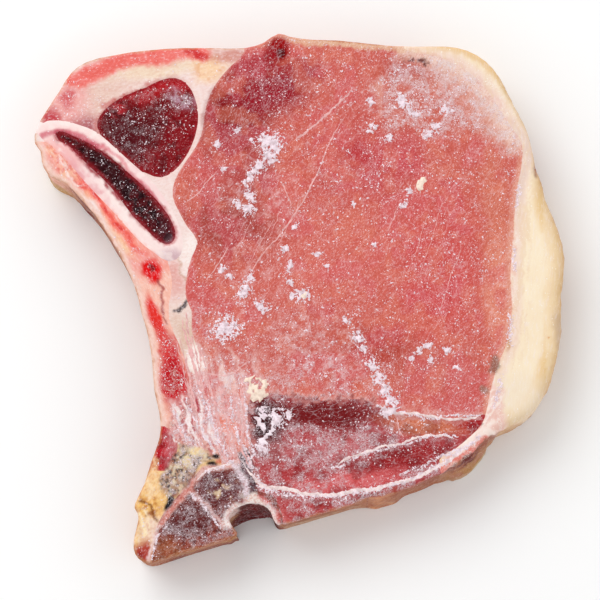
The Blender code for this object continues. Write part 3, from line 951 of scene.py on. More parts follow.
def paint_flank_strip(p):
    p.fill((184, 74, 76), 0.85)
    p.layers([
        (p.patchy(2.5, 54), (130, 36, 38), 0.7), ((24, -52, 8, 2.5, 15), (172, 84, 68), 0.8),
        (([(-8, -52), (-4.5, -56), (-3.8, -60)], 1), (220, 120, 116), 0.7),
    ])
    paint_ragged_corner(p)
    paint_dry_edge(p)
    p.layers([
        (p.side(2.2, 3.2), (180, 118, 72)), (p.side(5, 8), (152, 92, 52)),
        (p.side(12, 15), (200, 176, 148), 0.85), (p.blot(21, -55, 4, 4) * p.side(1, 2), (228, 164, 120)),
        (p.blot(34, -50, 9, 4) * p.side(2, 4), (150, 60, 54), 0.8),
    ])
    p.frosts([(p.side(), 0.1)])


def paint_side_muscle(p):
    p.fill((192, 26, 42), 0.35)
    p.layers([
        (p.patchy(2, 55), (150, 18, 28), 0.8), ((-33.5, -40, 1.6, 5), (206, 130, 136), 0.6),
    ])
    paint_ragged_corner(p)
    paint_dry_edge(p)
    p.layers([(p.side(), (134, 54, 48))])
    p.frosts([(p.side(), 0.05)])


def paint_side_fat(p):
    p.fill((240, 202, 144), 0.15)
    p.layers([
        ((-39, -54, 4, 5), (240, 190, 112)), ((-38, -60, 4, 4), (244, 216, 192), 0.9),
        ((-38, -48, 3.5, 3), (245, 206, 152), 0.8),
        (p.patchy(1.2, 56, 0.2, 0.7) * p.blot(-39, -54, 4, 7), (186, 110, 40), 0.7),
        # Folds drawn on the flat fat. The brown lines are painted shade in the creases, and the cream strokes
        # are painted highlights along the folds.
        (([(-41, -52), (-38, -53.5), (-36.5, -57)], 0.45), (130, 70, 24), 0.9),
        (([(-40, -56), (-37, -55)], 0.4), (146, 84, 34), 0.8),
        (([(-42.6, -55), (-40.8, -58.5), (-39.8, -61.5)], 0.6), (252, 232, 188), 0.8),
        (([(-40, -54.6), (-38.6, -58), (-38, -61)], 0.5), (252, 232, 192), 0.8),
        (([(-39.6, -45.5), (-38.4, -49), (-38.6, -51)], 0.6), (252, 224, 180), 0.7),
        ((-33, -52, 1, 2.6, -10, 0.4), (34, 28, 34)),
        (([(-32, -51), (-29.5, -46), (-28, -40)], 0.6), (130, 44, 62), 0.8),
        ((-40.5, -66.5, 3.4, 3.4, 0, 0.4), (178, 70, 58)), ((-41.5, -67.5, 1.4, 1.6), (130, 24, 32), 0.8),
    ])
    paint_ragged_corner(p)
    paint_dry_edge(p)
    p.layers([
        (p.side(1.2, 2.4), (216, 160, 96), 0.9), (p.side(3, 7), (166, 102, 56), 0.8),
    ])
    p.frosts([(p.side(), 0.03)])


def paint_chine_bone(p):
    p.fill((152, 72, 58), 0.75)
    in_notch = p.blot(-11, -57, 6.0, 6.0, soft=0.15)
    p.layers([
        ((-21, -49, 7, 5), (112, 62, 66)), ((-28, -58, 7, 5, 20), (110, 54, 54)),
        ((-22, -65.5, 16, 4.5, 18), (160, 74, 54), 0.9), (p.patchy(0.9, 59, -0.1, 0.4), (86, 20, 22), 0.7),
        ((-34.3, -66.5, 2.6, 3.6), (164, 102, 72), 0.8),
        (p.patchy(1, 60, 0.2, 0.5) * p.blot(-34, -66, 4, 4), (126, 70, 46), 0.7),
        (p.patchy(1.5, 60, 0.3, 0.7) * p.blot(-20, -50.5, 3, 4), (236, 212, 172), 0.8),
        (([(-28, -50.7), (-25, -53.5), (-22.6, -57), (-20.4, -60)], 0.6), (228, 190, 186), 0.85),
        ((NOTCH_RIM, 1.3), (246, 230, 224)),
        (([(-10.6, -51), (-7.6, -53), (-5.2, -56.6), (-4.8, -60.3)], 0.8), (222, 112, 108), 0.85),
        ((-13.5, -50.2, 1.6, 1, 20), (238, 212, 168), 0.8),
    ])
    paint_ragged_corner(p)
    paint_dry_edge(p)
    p.layers([
        (p.side(7, 8.5), (180, 132, 84), 0.9), (p.side(9.5, 13), (126, 54, 40), 0.9),
        (in_notch * p.side(0.9, 1.4), (88, 4, 6)),
        (in_notch * p.patchy(1, 61) * p.side(0.9, 1.4), (120, 20, 24), 0.8),
        (p.stroke(NOTCH_RIM, 1.4) * (1 - p.side(2.4, 3.2)), (250, 238, 234)),
    ])
    p.frosts([
        ((NOTCH_RIM, 1.5), 0.7), ((-22, -67, 16, 3.4, 18), 0.35), ((-34, -66.5, 4, 4), 0.2),
        (p.side(), 0.03),
    ])


PAINTERS = {
    "loin_eye": paint_loin_eye, "back_fat": paint_back_fat, "cap_muscle": paint_cap_muscle,
    "tenderloin": paint_tenderloin, "flank_strip": paint_flank_strip, "side_muscle": paint_side_muscle,
    "rib_bone": paint_rib_bone, "rib_marrow": paint_rib_marrow, "rib_strip": paint_rib_strip,
    "chine_bone": paint_chine_bone, "seam_fat": paint_seam_fat, "side_fat": paint_side_fat,
}


def paint_film(p):
    """A dried film over the outer wall that hides where one node ends and the next begins."""
    border = np.sort(p.distances, axis=1)[:, 1]
    bare = p.blot(-11, -57, 8, 8) + p.blot(42, -44, 13, 8) + 0.7 * p.blot(-54, 22, 13, 9, -45)
    bare = bare + 0.6 * p.blot(20, -55, 24, 7, 10)
    film = p.side(1.8, 3.4) * np.clip(1 - bare, 0, 1)
    low = p.side(4.0, 11.0) * (1 - p.blot(-11, -57, 8, 8))
    ragged = noise(p.place, 2.5, 91, 2)
    p.layers([
        (film * smoothstep(4.5, 0.4, border + ragged), (182, 118, 92), 0.8),
        (film * p.patchy(5.0, 92, -0.1, 0.6), (200, 146, 112), 0.35),
        (low * smoothstep(5.0, 0.5, border + 1.5 * ragged), (172, 112, 82), 0.8),
        (low * p.patchy(4.0, 90, -0.4, 0.5), (178, 122, 92), 0.55),
    ])


def painted(node, place):
    paint = Paint(place)
    PAINTERS[node](paint)
    paint_film(paint)
    return paint


# ---- materials

FROST = srgb(246, 232, 238)
FROST_ON_FAT = srgb(254, 247, 238)

# Size of the grain in mm, how far it is drawn out along the fibres and their direction, how strongly it
# darkens and lightens, the share of pale veins, roughness, and relief in mm.
GRAINS = {
    "loin_eye": (0.32, 1.8, 56, 0.55, 0.3, 0.2, 0.5, 0.06),
    "cap_muscle": (0.45, 1.4, 20, 0.8, 0.1, 0.0, 0.4, 0.12),
    "tenderloin": (0.45, 1.4, 5, 0.7, 0.15, 0.2, 0.45, 0.12),
    "flank_strip": (0.45, 1.6, 15, 0.8, 0.15, 0.1, 0.45, 0.12),
    "side_muscle": (0.6, 1.8, 70, 1.0, 0.2, 0.1, 0.4, 0.14),
    "rib_marrow": (0.75, 1.2, -50, 0.9, 0.05, 0.0, 0.3, 0.22),
    "chine_bone": (0.5, 1.1, 20, 1.0, 0.25, 0.2, 0.5, 0.16),
    "rib_strip": (0.5, 2.4, -60, 0.25, 0.3, 0.1, 0.45, 0.08),
    "seam_fat": (0.6, 1.6, 10, 0.22, 0.35, 0.1, 0.5, 0.06),
    "side_fat": (0.65, 1.4, 60, 0.4, 0.3, 0.0, 0.5, 0.12),
    "back_fat": (0.5, 5.0, 85, 0.05, 0.3, 0.0, 0.42, 0.02),
    "rib_bone": (0.6, 2.0, -50, 0.06, 0.2, 0.0, 0.4, 0.03),
}


class Graph:
    """Builds a material's nodes."""

    def __init__(self, name):
        self.material = bpy.data.materials.new(name)
        self.material.use_nodes = True
        self.tree = self.material.node_tree
        self.shader = self.tree.nodes["Principled BSDF"]

    def put(self, socket, value):
        if isinstance(value, bpy.types.NodeSocket):
            self.tree.links.new(value, socket)
        elif socket.type == "RGBA":
            socket.default_value = (*value, 1.0)
        else:
            socket.default_value = value

    def add(self, kind, inputs, output=0, **settings):
        node = self.tree.nodes.new("ShaderNode" + kind)
        for key, value in settings.items():
            setattr(node, key, value)
        for key, value in inputs.items():
            self.put(node.inputs[key], value)
        return node.outputs[output]

    def attribute(self, name, output):
        return self.add("Attribute", {}, output, attribute_name=name)

    def math(self, operation, first, second=0.0):
        return self.add("Math", {0: first, 1: second}, operation=operation)

    def scaled(self, vector, by):
        return self.add("VectorMath", {0: vector, 1: by}, operation="MULTIPLY")

    def rise(self, value, low, high):
        """From 0 at the low value to 1 at the high one. The low value may be the larger."""
        inputs = {"Value": value, "From Min": low, "From Max": high}
        return self.add("MapRange", inputs, interpolation_type="SMOOTHSTEP")

    def mix(self, share, first, second, blend="MIX"):
        inputs = {0: share, 6: first, 7: second}
        return self.add("Mix", inputs, 2, data_type="RGBA", blend_type=blend, clamp_factor=True)

    def noise(self, vector, detail=2.0, roughness=0.6):
        inputs = {"Vector": vector, "Scale": 1.0, "Detail": detail, "Roughness": roughness}
        return self.add("TexNoise", inputs)

    def warped(self, vector, amount, scale):
        inputs = {"Vector": vector, "Scale": scale, "Detail": 1.0}
        wave = self.add("TexNoise", inputs, "Color")
        wave = self.add("VectorMath", {0: wave, 1: (0.5, 0.5, 0.5)}, operation="SUBTRACT")
        return self.add("VectorMath", {0: wave, 1: (amount,) * 3, 2: vector}, operation="MULTIPLY_ADD")

    def specks(self, vector, size, density):
        """Small separate dots, present in that share of the cells."""
        inputs = {"Vector": vector, "Scale": 1.0 / size, "Exponent": 0.7}
        cells = self.add("TexVoronoi", inputs, "Distance", distance="MINKOWSKI")
        pick = self.add("SeparateColor", {"Color": cells.node.outputs["Color"]}, "Red")
        radius = pick.node.outputs["Green"]
        radius = self.math("MULTIPLY_ADD", radius, 0.24)
        self.put(radius.node.inputs[2], 0.20)
        dot = self.rise(self.math("DIVIDE", cells, radius), 1.25, 0.75)
        return self.math("MULTIPLY", dot, self.math("LESS_THAN", pick, density))


def flesh(node):
    """A node's material, driven by the colour, the frost and the grain's direction on its mesh."""
    size, stretch, _, dark_share, light_share, veins, roughness, relief = GRAINS[node]
    g = Graph(node)
    tint = g.attribute("tint", "Color")
    frost = g.attribute("frost", "Fac")
    grain = g.attribute("grain", "Vector")
    across = 1.0 / size
    fibres = g.scaled(g.warped(grain, 0.5, 0.8), (across / stretch, across, across))
    fine = g.noise(fibres, 2.5)
    dark = g.rise(fine, 0.53, 0.36)
    light = g.rise(fine, 0.52, 0.72)
    mottle = g.noise(g.scaled(grain, (0.4, 0.6, 0.6)), 3.0)
    dull = g.math("MULTIPLY", g.rise(mottle, 0.5, 0.3), dark_share)
    colour = g.mix(dull, tint, g.mix(1.0, tint, (0.86, 0.62, 0.60), "MULTIPLY"))
    shade = g.mix(1.0, colour, (0.82, 0.55, 0.52), "MULTIPLY")
    colour = g.mix(g.math("MULTIPLY", dark, dark_share), colour, shade)
    colour = g.mix(g.math("MULTIPLY", light, light_share), colour, FROST)
    if veins:
        cells = g.scaled(g.warped(grain, 1.2, 0.7), (0.28, 0.6, 0.5))
        edge = g.add("TexVoronoi", {"Vector": cells, "Scale": 1.0}, feature="DISTANCE_TO_EDGE")
        vein = g.math("MULTIPLY", g.rise(edge, 0.07, 0.015), g.rise(mottle, 0.42, 0.62))
        colour = g.mix(g.math("MULTIPLY", vein, veins), colour, FROST)
    pale = FROST if dark_share > 0.25 else FROST_ON_FAT
    ragged = g.warped(grain, 0.5, 2.2)
    patch = g.rise(g.noise(g.scaled(grain, (0.35, 0.35, 0.35)), 3.0), 0.30, 0.62)
    gathered = g.math("MULTIPLY", frost, patch)
    spread = g.math("ADD", g.math("MULTIPLY", gathered, 0.75), g.math("MULTIPLY", frost, 0.25))
    small = g.specks(ragged, 0.55, spread)
    large = g.specks(ragged, 0.95, g.math("MULTIPLY", gathered, 0.45))
    strand = g.noise(g.scaled(ragged, (1.4, 1.4, 1.4)), 3.0, 0.7)
    strand = g.rise(g.math("ABSOLUTE", g.math("SUBTRACT", strand, 0.5)), 0.045, 0.012)
    lace = g.math("MULTIPLY", strand, g.rise(gathered, 0.35, 0.85))
    haze = g.noise(g.scaled(ragged, (1.8, 2.6, 2.6)), 3.0, 0.75)
    haze = g.rise(g.math("ADD", haze, g.math("MULTIPLY", gathered, 0.25)), 0.64, 0.84)
    colour = g.mix(g.math("MULTIPLY", haze, 0.28), colour, pale)
    white = g.math("MAXIMUM", g.math("MAXIMUM", small, large), g.math("MULTIPLY", lace, 0.8))
    colour = g.mix(g.math("MULTIPLY", white, 0.92), colour, pale)
    g.put(g.shader.inputs["Base Color"], colour)
    g.shader.inputs["Specular IOR Level"].default_value = 0.05
    rough = g.math("MULTIPLY_ADD", white, 0.3)
    g.put(rough.node.inputs[2], roughness)
    g.put(g.shader.inputs["Roughness"], rough)
    height = g.math("ADD", fine, g.math("MULTIPLY", white, 0.5))
    bump = {"Height": height, "Distance": relief * 2.5 * MM, "Strength": 0.7}
    g.put(g.shader.inputs["Normal"], g.add("Bump", bump, "Normal"))
    return g.material


def put_looks(mesh, node):
    """Writes a piece's colour, frost and grain onto its vertices, and gives it its material."""
    place = np.empty(len(mesh.vertices) * 3)
    mesh.vertices.foreach_get("co", place)
    place = place.reshape(-1, 3) / MM
    paint = painted(node, place)
    tint = np.column_stack([paint.tint, np.ones(len(place))])
    turn = GRAINS[node][2]
    grain = np.column_stack([*turned(*place[:, :2].T, turn), place[:, 2]])
    mesh.attributes.new("tint", "FLOAT_COLOR", "POINT").data.foreach_set("color", tint.ravel())
    mesh.attributes.new("frost", "FLOAT", "POINT").data.foreach_set("value", np.clip(paint.frost, 0, 1))
    mesh.attributes.new("grain", "FLOAT_VECTOR", "POINT").data.foreach_set("vector", grain.ravel())
    mesh.materials.append(flesh(node))
    mesh.polygons.foreach_set("use_smooth", np.ones(len(mesh.polygons), bool))
    mesh.set_sharp_from_angle(angle=math.radians(50))


# ---- what lies on the cut face

# Loose frost on the face: x, y, half length, half width, turn of the long side.
CLUMPS = [
    (-8, 42.5, 3.2, 3.2, 20), (-7.5, 39.0, 2.6, 1.6, 60), (-11, 36, 2.2, 1.4, 50),
    (-13.2, 33, 2.6, 1.2, 60), (-13, 28, 2.0, 1.2, 80), (-16.5, 25.5, 1.3, 1.1, 0),
    (-13.5, 24.5, 1.6, 1.2, 70), (-14.8, 2.5, 3.2, 1.3, 70), (-12.8, 6.5, 1.3, 0.8, 60),
    (-20.5, 8.3, 0.9, 0.8, 0), (-18, 6, 0.9, 0.5, 0), (-4, 14, 1.0, 0.8, 0), (-19.5, -7.5, 3.5, 3.0, 30),
    (-10, -1.5, 1.6, 1.2, -40), (-2.5, 5, 0.8, 0.7, 0), (-2.8, 9, 0.6, 1.4, 0), (-2.2, 1.5, 0.6, 1.2, 20),
    (0.5, 1.5, 1.7, 1.5, 0), (12.5, -5.5, 1.0, 0.9, 0), (15, -10, 1.2, 1.6, -20),
    (16.5, -13, 1.3, 0.9, -60), (19, -17, 1.8, 1.3, -50), (20.5, -20.5, 1.8, 1.4, -50),
    (22.5, -24, 2.2, 1.5, -45), (24, -27, 1.8, 1.2, -50), (22.5, -29.5, 1.4, 1.1, 0),
    (29, -15.8, 1.0, 0.5, 30), (31.5, -13, 1.6, 0.5, 60), (33, -12, 1.4, 0.5, -30),
    (34.5, -15.5, 1.0, 0.5, 30), (38.5, -13.3, 1.0, 0.8, 60), (19, 53.5, 1.2, 0.8, 0),
    (27, 54, 2.3, 1.6, -30), (31, 50.5, 2.0, 1.2, -40), (39, 51.5, 1.6, 1.2, 0), (36, 47, 1.6, 1.1, 0),
    (34, 45, 1.4, 0.9, 40), (19, 46.5, 1.3, 0.7, 20), (23.5, 44, 1.0, 0.9, 0), (27, 26, 1.2, 0.6, 40),
    (28.5, 29, 0.9, 0.7, 0), (-17, 46, 1.2, 0.7, 30), (-22, 42.5, 0.9, 0.7, 0), (5, 12, 1.0, 0.4, 40),
    (7, 9, 1.0, 0.4, -50), (-6, -31, 1.6, 2.4, 20), (-9.5, -29.5, 1.0, 1.2, 0), (-2.5, -30, 1.0, 0.8, 0),
    (-10, -39, 1.6, 1.0, 0), (-13, 43, 0.7, 0.5, 0), (20, 15, 0.6, 0.5, 0), (-20, 35, 0.5, 0.5, 0),
    (14, 26, 0.6, 0.4, 20), (41, -18, 0.7, 0.5, 0), (-1, 20, 0.7, 0.6, 0),
]

# Sinew: the points it runs through, its width and height in mm, and how ragged it is.
FINE_SINEWS = [
    ([(-2, 43), (5, 48), (12, 55), (14, 58)], 0.5, 0.06, 0.5),
    ([(12, 50), (8, 43), (5, 35), (2.5, 30), (-1, 24), (-5, 18), (-9, 13.5), (-14, 6)], 0.36, 0.06, 0.4),
    ([(-5, 32), (-2, 26)], 0.3, 0.05, 0.4),
    ([(-30, 26), (-26, 30), (-22, 35)], 0.3, 0.05, 0.4),
    ([(-25, 5), (-22, 9), (-19, 14)], 0.3, 0.05, 0.4),
    ([(25.5, -31), (26, -34.5), (27, -36)], 0.5, 0.10, 0.5),
    ([(-26, -19), (-19, -20), (-14, -16)], 0.3, 0.06, 0.6),
    ([(-33, -28), (-31, -34), (-28, -38)], 0.5, 0.08, 0.6),
]
THICK_SINEWS = [
    ([(20, -28), (25, -29.5), (30, -30), (35, -31), (40, -31.3), (45, -31), (47.5, -30)], 0.6, 0.08, 0.5),
    ([(8.5, -44.5), (12, -42), (17, -40), (21, -38.5), (25, -37.8), (28, -37), (31, -36), (34, -35.5),
      (38, -35.5), (41, -36.5)], 0.65, 0.10, 0.55),
    ([(-15, -42), (-12, -46.5), (-9, -49), (-4, -49.5), (0, -50.5), (5, -51), (10, -51), (15, -50),
      (20, -49.3), (25, -48), (30, -46.5), (35, -44), (40, -41), (46, -37)], 1.1, 0.08, 0.35),
    (BACKBONE_RIM[3:], 0.5, 0.08, 0.5),
]

# Fans of fine sinew: the guides at either side, the number of strands, their width and height.
FANS = [
    ([(-33, -8), (-31, -16), (-29, -26), (-27, -36), (-24, -41)],
     [(-25, -8), (-21, -18), (-18, -28), (-16, -38), (-13, -47)], 26, 0.26, 0.08),
    ([(-18, -20), (-17, -30), (-16, -40), (-12, -47)],
     [(-14, -20), (-13.5, -30), (-12.8, -38), (-10, -46)], 14, 0.30, 0.10),
    ([(-31, -3), (-30, -10), (-27, -18)], [(-28, -3), (-27, -10), (-25, -18)], 8, 0.26, 0.08),
    ([(-8, 6), (4, 24), (14, 42)], [(40, -12), (46, 6), (50, 26)], 5, 0.12, 0.02),
    ([(-28, 6), (-24, 20), (-22, 34)], [(-8, 6), (4, 24), (10, 44)], 5, 0.14, 0.02),
]

# Lines of gathered frost: the points and the width.
FROST_LINES = [
    (BACKBONE_RIM[4:], 0.35), (NOTCH_FASCIA, 0.5), (NOTCH_RIM[1:6], 0.3),
    ([(-12.8, -42.6), (-10.1, -48.5), (-6.5, -50.7), (0, -51.3), (10, -51.3), (20, -49.5), (30, -46.5),
      (35, -44), (40, -41), (46, -37)], 0.55),
    ([(8.5, -44.5), (17, -40.4), (25, -38.4), (31, -36.4), (38, -35.5), (41, -36.5)], 0.22),
    ([(20, -28), (25, -29.5), (35, -31), (47, -30)], 0.25),
    ([(-24.4, -27), (-21.7, -34.4), (-19, -40.7)], 0.3),
    ([(-18.1, -25.3), (-17.2, -32), (-14.9, -39), (-12.8, -43.5)], 0.45),
    ([(-14.6, -25), (-13.7, -34.4), (-12.2, -41.5)], 0.35),
    ([(-33, -29), (-31, -33), (-29, -37.5)], 0.3),
    ([(-30, -25.5), (-26, -34), (-22, -39.5)], 0.3),
    ([(-27, -23), (-23.5, -31), (-21, -38)], 0.25),
    ([(-28, -50.7), (-25, -53.5), (-22.6, -57), (-20.4, -60)], 0.35),
    ([(-36.3, -61.2), (-37.4, -64.8), (-38.3, -68)], 0.3),
    ([(26.2, -46), (38.7, -40.3), (46.8, -36)], 0.35),
    ([(57.8, 31), (57.2, 25)], 0.6), ([(56.4, 14), (56.2, 8)], 0.5), ([(55.4, -4), (54.6, -12)], 0.55),
    ([(52.6, -20), (50.2, -28)], 0.6),
]

# Flakes of ice and of cream fat, in the form of the sinews.
ICE_FLAKES = [
    ([(-9.8, -38.5), (-8.6, -36), (-7, -33), (-5.6, -29.8)], 1.5, 0.35, 0.7),
    ([(-12.0, -30.8), (-10.4, -32.4), (-9.0, -35)], 1.1, 0.30, 0.7),
    ([(-10.6, -29.6), (-9.4, -31.6)], 0.9, 0.25, 0.7),
    ([(-3.4, -31.6), (-2.2, -30.4)], 1.2, 0.25, 0.7),
    ([(22.0, -30.3), (24.6, -29.2)], 1.9, 0.25, 0.8),
]
CREAM_FLAKES = [
    ([(31.3, 29.6), (32.0, 31.2), (33.0, 33.2)], 1.9, 0.30, 0.25),
    ([(-13.9, -20.4), (-12.6, -22.4), (-9.8, -24.6), (-8.4, -25.2)], 2.4, 0.38, 0.9),
    ([(-13.2, -23.0), (-11.2, -25.4), (-9.4, -26.0)], 1.8, 0.32, 0.9),
    ([(-11.6, -20.2), (-10.0, -21.6), (-8.6, -23.4)], 1.4, 0.34, 0.9),
    ([(0.6, 0.4), (1.8, 2.2)], 1.1, 0.25, 0.8),
]


def on_ground(ground, flat):
    """The height of the cut face under some places, or 0 where there is none."""
    found = [ground.ray_cast((x, y, 2 * THICKNESS), (0, 0, -1))[0] for x, y in flat]
    return np.array([hit.z if hit else 0.0 for hit in found])


def mesh_of(name, places, faces):
    mesh = bpy.data.meshes.new(name)
    mesh.from_pydata((np.asarray(places) * MM).tolist(), [], [tuple(face) for face in faces])
    return mesh


def curve_through(points, step):
    """Evenly spaced places on a smooth open curve."""
    points = np.array(points, float)
    ends = np.concatenate([[2 * points[0] - points[1]], points, [2 * points[-1] - points[-2]]])
    share = np.linspace(0.0, 1.0, 24, endpoint=False)[:, None]
    fine = [spline(*four, share) for four in zip(ends, ends[1:], ends[2:], ends[3:])]
    return evenly_along(np.concatenate(fine + [points[-1:]]), step, False)


def fan_lines():
    """The strands of all the fans, each between its guides, with random ends."""
    random = np.random.default_rng(7)
    lines = []
    for first, second, count, width, height in FANS:
        first, second = curve_through(first, 0.1), curve_through(second, 0.1)
        for _ in range(count):
            share = random.uniform()
            length = random.uniform(0.12, 0.6)
            start = random.uniform(0.0, 1.0 - length)
            steps = np.linspace(start, start + length, 7)
            guides = [guide[(steps * (len(guide) - 1)).astype(int)] for guide in (first, second)]
            line = guides[0] * (1 - share) + guides[1] * share + random.normal(0, 0.12, (7, 2))
            lines.append((line, width * random.uniform(0.7, 1.5), height, 0.6))
    return lines


RIBBON_SECTION = ((1.0, -0.3), (0.9, 0.0), (0.5, 0.8), (0.0, 1.0), (-0.5, 0.8), (-0.9, 0.0), (-1.0, -0.3))


def make_ribbons(name, lines, ground, seed):
    """Thin raised ribbons, closed underneath, that follow the cut face."""
    places, faces = [], []
    around = len(RIBBON_SECTION)
    for number, (points, width, height, ragged) in enumerate(lines):
        line = curve_through(points, 0.25) + FACE_CENTRE
        ripple = noise_pair(line, 1.2, seed + number) * 0.08
        line = line + ripple + noise_pair(line, 5.0, seed - number) * 0.2
        middle = on_ground(ground, line)
        line, middle = line[middle > 0], middle[middle > 0]
        if len(line) < 4:
            continue
        way = np.gradient(line, axis=0)
        across = np.column_stack([-way[:, 1], way[:, 0]]) / np.maximum(np.hypot(*way.T), 1e-6)[:, None]
        share = np.linspace(0.0, 1.0, len(line))
        taper = 0.15 + 0.85 * np.minimum(smoothstep(0.0, 0.12, share), smoothstep(1.0, 0.88, share))
        edges = [1 + ragged * 1.5 * noise(line, 0.8, seed + number + side, 2) for side in (200, 400)]
        left, right = [width / 2 * taper * np.clip(edge, 0.15, 2.2) for edge in edges]
        rows = []
        for reach, lift in RIBBON_SECTION:
            flat = line + across * (reach * (left if reach > 0 else right))[:, None]
            level = on_ground(ground, flat)
            level = np.where(level > 0, level, middle) + lift * height * taper
            rows.append(np.column_stack([flat, np.minimum(level, THICKNESS)]))
        first = len(places)
        places += list(np.stack(rows, axis=1).reshape(-1, 3))
        for i in range(len(line) - 1):
            for k in range(around):
                a = first + i * around + k
                b = first + i * around + (k + 1) % around
                faces.append((a, b, b + around, a + around))
        faces.append(tuple(first + k for k in range(around))[::-1])
        faces.append(tuple(first + (len(line) - 1) * around + k for k in range(around)))
    return mesh_of(name, places, faces)


OCTAHEDRON = np.array([(1, 0, 0), (0, 1, 0), (-1, 0, 0), (0, -1, 0), (0, 0, 1), (0, 0, -1)], float)
OCTAHEDRON_FACES = np.array([
    (0, 1, 4), (1, 2, 4), (2, 3, 4), (3, 0, 4), (1, 0, 5), (2, 1, 5), (3, 2, 5), (0, 3, 5),
])


# How far a crystal's corners stray from their places, as a share of its size, and how steeply it tilts.
UNEVEN = 0.35
TILT = 0.35


def make_crystals(name, flat, length, width, height, ground, random):
    """One mesh of small uneven ice crystals standing a little proud of the cut face."""
    count = len(flat)
    corners = OCTAHEDRON + random.uniform(-UNEVEN, UNEVEN, (count, 6, 3))
    corners *= np.column_stack([length, width, height])[:, None]
    turn = random.uniform(0, 2 * math.pi, count)
    cos, sin = np.cos(turn)[:, None], np.sin(turn)[:, None]
    x = corners[..., 0] * cos - corners[..., 1] * sin
    y = corners[..., 0] * sin + corners[..., 1] * cos
    tilt = random.uniform(-TILT, TILT, (count, 2, 1))
    z = corners[..., 2] + x * tilt[:, 0] + y * tilt[:, 1]
    level = on_ground(ground, flat)
    middle = (level + 0.3 * height)[:, None]
    places = np.stack([x + flat[:, :1], y + flat[:, 1:], z + middle], axis=-1)
    places[..., 2] = np.minimum(places[..., 2], THICKNESS)
    places = places[level > 0]
    faces = (np.arange(len(places))[:, None, None] * 6 + OCTAHEDRON_FACES).reshape(-1, 3)
    return mesh_of(name, places.reshape(-1, 3), faces.tolist())


# Crystals tried all over the chop's box. Each is kept by chance, more often where more frost is painted.
FINE_TRIES = 130000


def make_fine_frost(ground):
    """Fine crystals all over the face, as thick as the frost painted there."""
    random = np.random.default_rng(5)
    low, high = np.array(CAD_BOX[0].xy) / MM, np.array(CAD_BOX[1].xy) / MM
    flat = random.uniform(low, high, (FINE_TRIES, 2))
    flat = flat[node_distances(flat).min(1) < -0.8]
    owner = np.argmin(node_distances(flat), axis=1)
    frost = np.zeros(len(flat))
    for index, name in enumerate(NODES):
        mine = (owner == index) & (name != "back_fat")
        if mine.any():
            place = np.column_stack([flat[mine], np.full(mine.sum(), THICKNESS)])
            frost[mine] = painted(name, place).frost
    patch = 0.12 + 0.75 * smoothstep(-0.3, 0.8, noise(flat, 2.2, 81, 3))
    kept = flat[random.uniform(0, 1, len(flat)) < frost * patch]
    size = 0.065 + 0.16 * random.uniform(0, 1, len(kept)) ** 4
    stretch = 1 + 1.2 * random.uniform(0, 1, len(kept)) ** 2
    return make_crystals("fine_frost", kept, size * stretch, size, size * 0.7, ground, random)


def make_frost_clumps(ground):
    """Crystals gathered in clumps with ragged edges."""
    random = np.random.default_rng(6)
    flats, sizes = [], []
    for x, y, wide, high, turn in CLUMPS:
        count = int(70 * wide * high) + 24
        spread = random.normal(0, 0.55, (count, 2)) * (wide, high)
        flat = np.column_stack(turned(*spread.T, -turn)) + (x, y) + FACE_CENTRE
        flats.append(flat + noise_pair(flat, 1.0, 83) * 0.5)
        near = np.exp(-(spread**2).sum(1) / (wide * high))
        sizes.append((0.10 + 0.20 * random.uniform(0, 1, count) ** 2) * (0.7 + 0.6 * near))
    for points, width in FROST_LINES:
        line = curve_through(points, 0.05) + FACE_CENTRE
        count = int(len(line) * (0.4 + 0.8 * width))
        flat = line[random.integers(0, len(line), count)] + random.normal(0, 0.6, (count, 2)) * width
        flats.append(flat + noise_pair(flat, 1.5, 84) * 0.35)
        sizes.append(0.08 + 0.16 * random.uniform(0, 1, count) ** 2)
    flat, size = np.concatenate(flats), np.concatenate(sizes)
    stretch = 1 + 1.6 * random.uniform(0, 1, len(flat)) ** 2
    return make_crystals("frost_clumps", flat, size * stretch, size, size * 0.8, ground, random)


def plain_material(name, colour):
    """A material with a little unevenness in its colour."""
    g = Graph(name)
    where = g.add("TexCoord", {}, "Object")
    wave = g.noise(g.scaled(where, (900, 900, 900)), 3.0)
    pale = g.mix(1.0, srgb(*colour), (1.08, 1.08, 1.08), "MULTIPLY")
    dull = g.mix(1.0, srgb(*colour), (0.86, 0.80, 0.80), "MULTIPLY")
    g.put(g.shader.inputs["Base Color"], g.mix(g.rise(wave, 0.35, 0.6), dull, pale))
    g.shader.inputs["Roughness"].default_value = 0.5
    g.shader.inputs["Specular IOR Level"].default_value = 0.25
    return g.material


def add_piece(mesh):
    piece = bpy.data.objects.new(mesh.name, mesh)
    bpy.context.scene.collection.objects.link(piece)
    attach(piece, "root")
    return piece


# ---- showing it

# Half the floor's width, and the lamp's place and width, in metres, and its power in watts.
FLOOR = 2.0
LAMP_PLACE = (-0.45, 0.55, 0.85)
LAMP_WIDTH = 0.9
LAMP_WATTS = 5.0

# The dome shines with the first strength up to the first height, and with the second one from the second.
DOME_HEIGHTS = (0.72, 0.95)
DOME_STRENGTHS = (1.02, 0.25)

# The camera's distance and width of view in metres, its sensor in mm, and its degrees above the horizon.
CAMERA_DISTANCE = 0.6
VIEW_WIDTH = 0.15732
SENSOR = 36.0
ELEVATION = 80


def add_floor():
    mesh = bpy.data.meshes.new("floor")
    corners = [(-FLOOR, -FLOOR, 0), (FLOOR, -FLOOR, 0), (FLOOR, FLOOR, 0), (-FLOOR, FLOOR, 0)]
    mesh.from_pydata(corners, [], [(0, 1, 2, 3)])
    floor = bpy.data.objects.new("floor", mesh)
    bpy.context.scene.collection.objects.link(floor)
    g = Graph("floor")
    g.put(g.shader.inputs["Base Color"], srgb(252, 252, 252))
    g.shader.inputs["Roughness"].default_value = 0.9
    g.shader.inputs["Specular IOR Level"].default_value = 0.1
    mesh.materials.append(g.material)


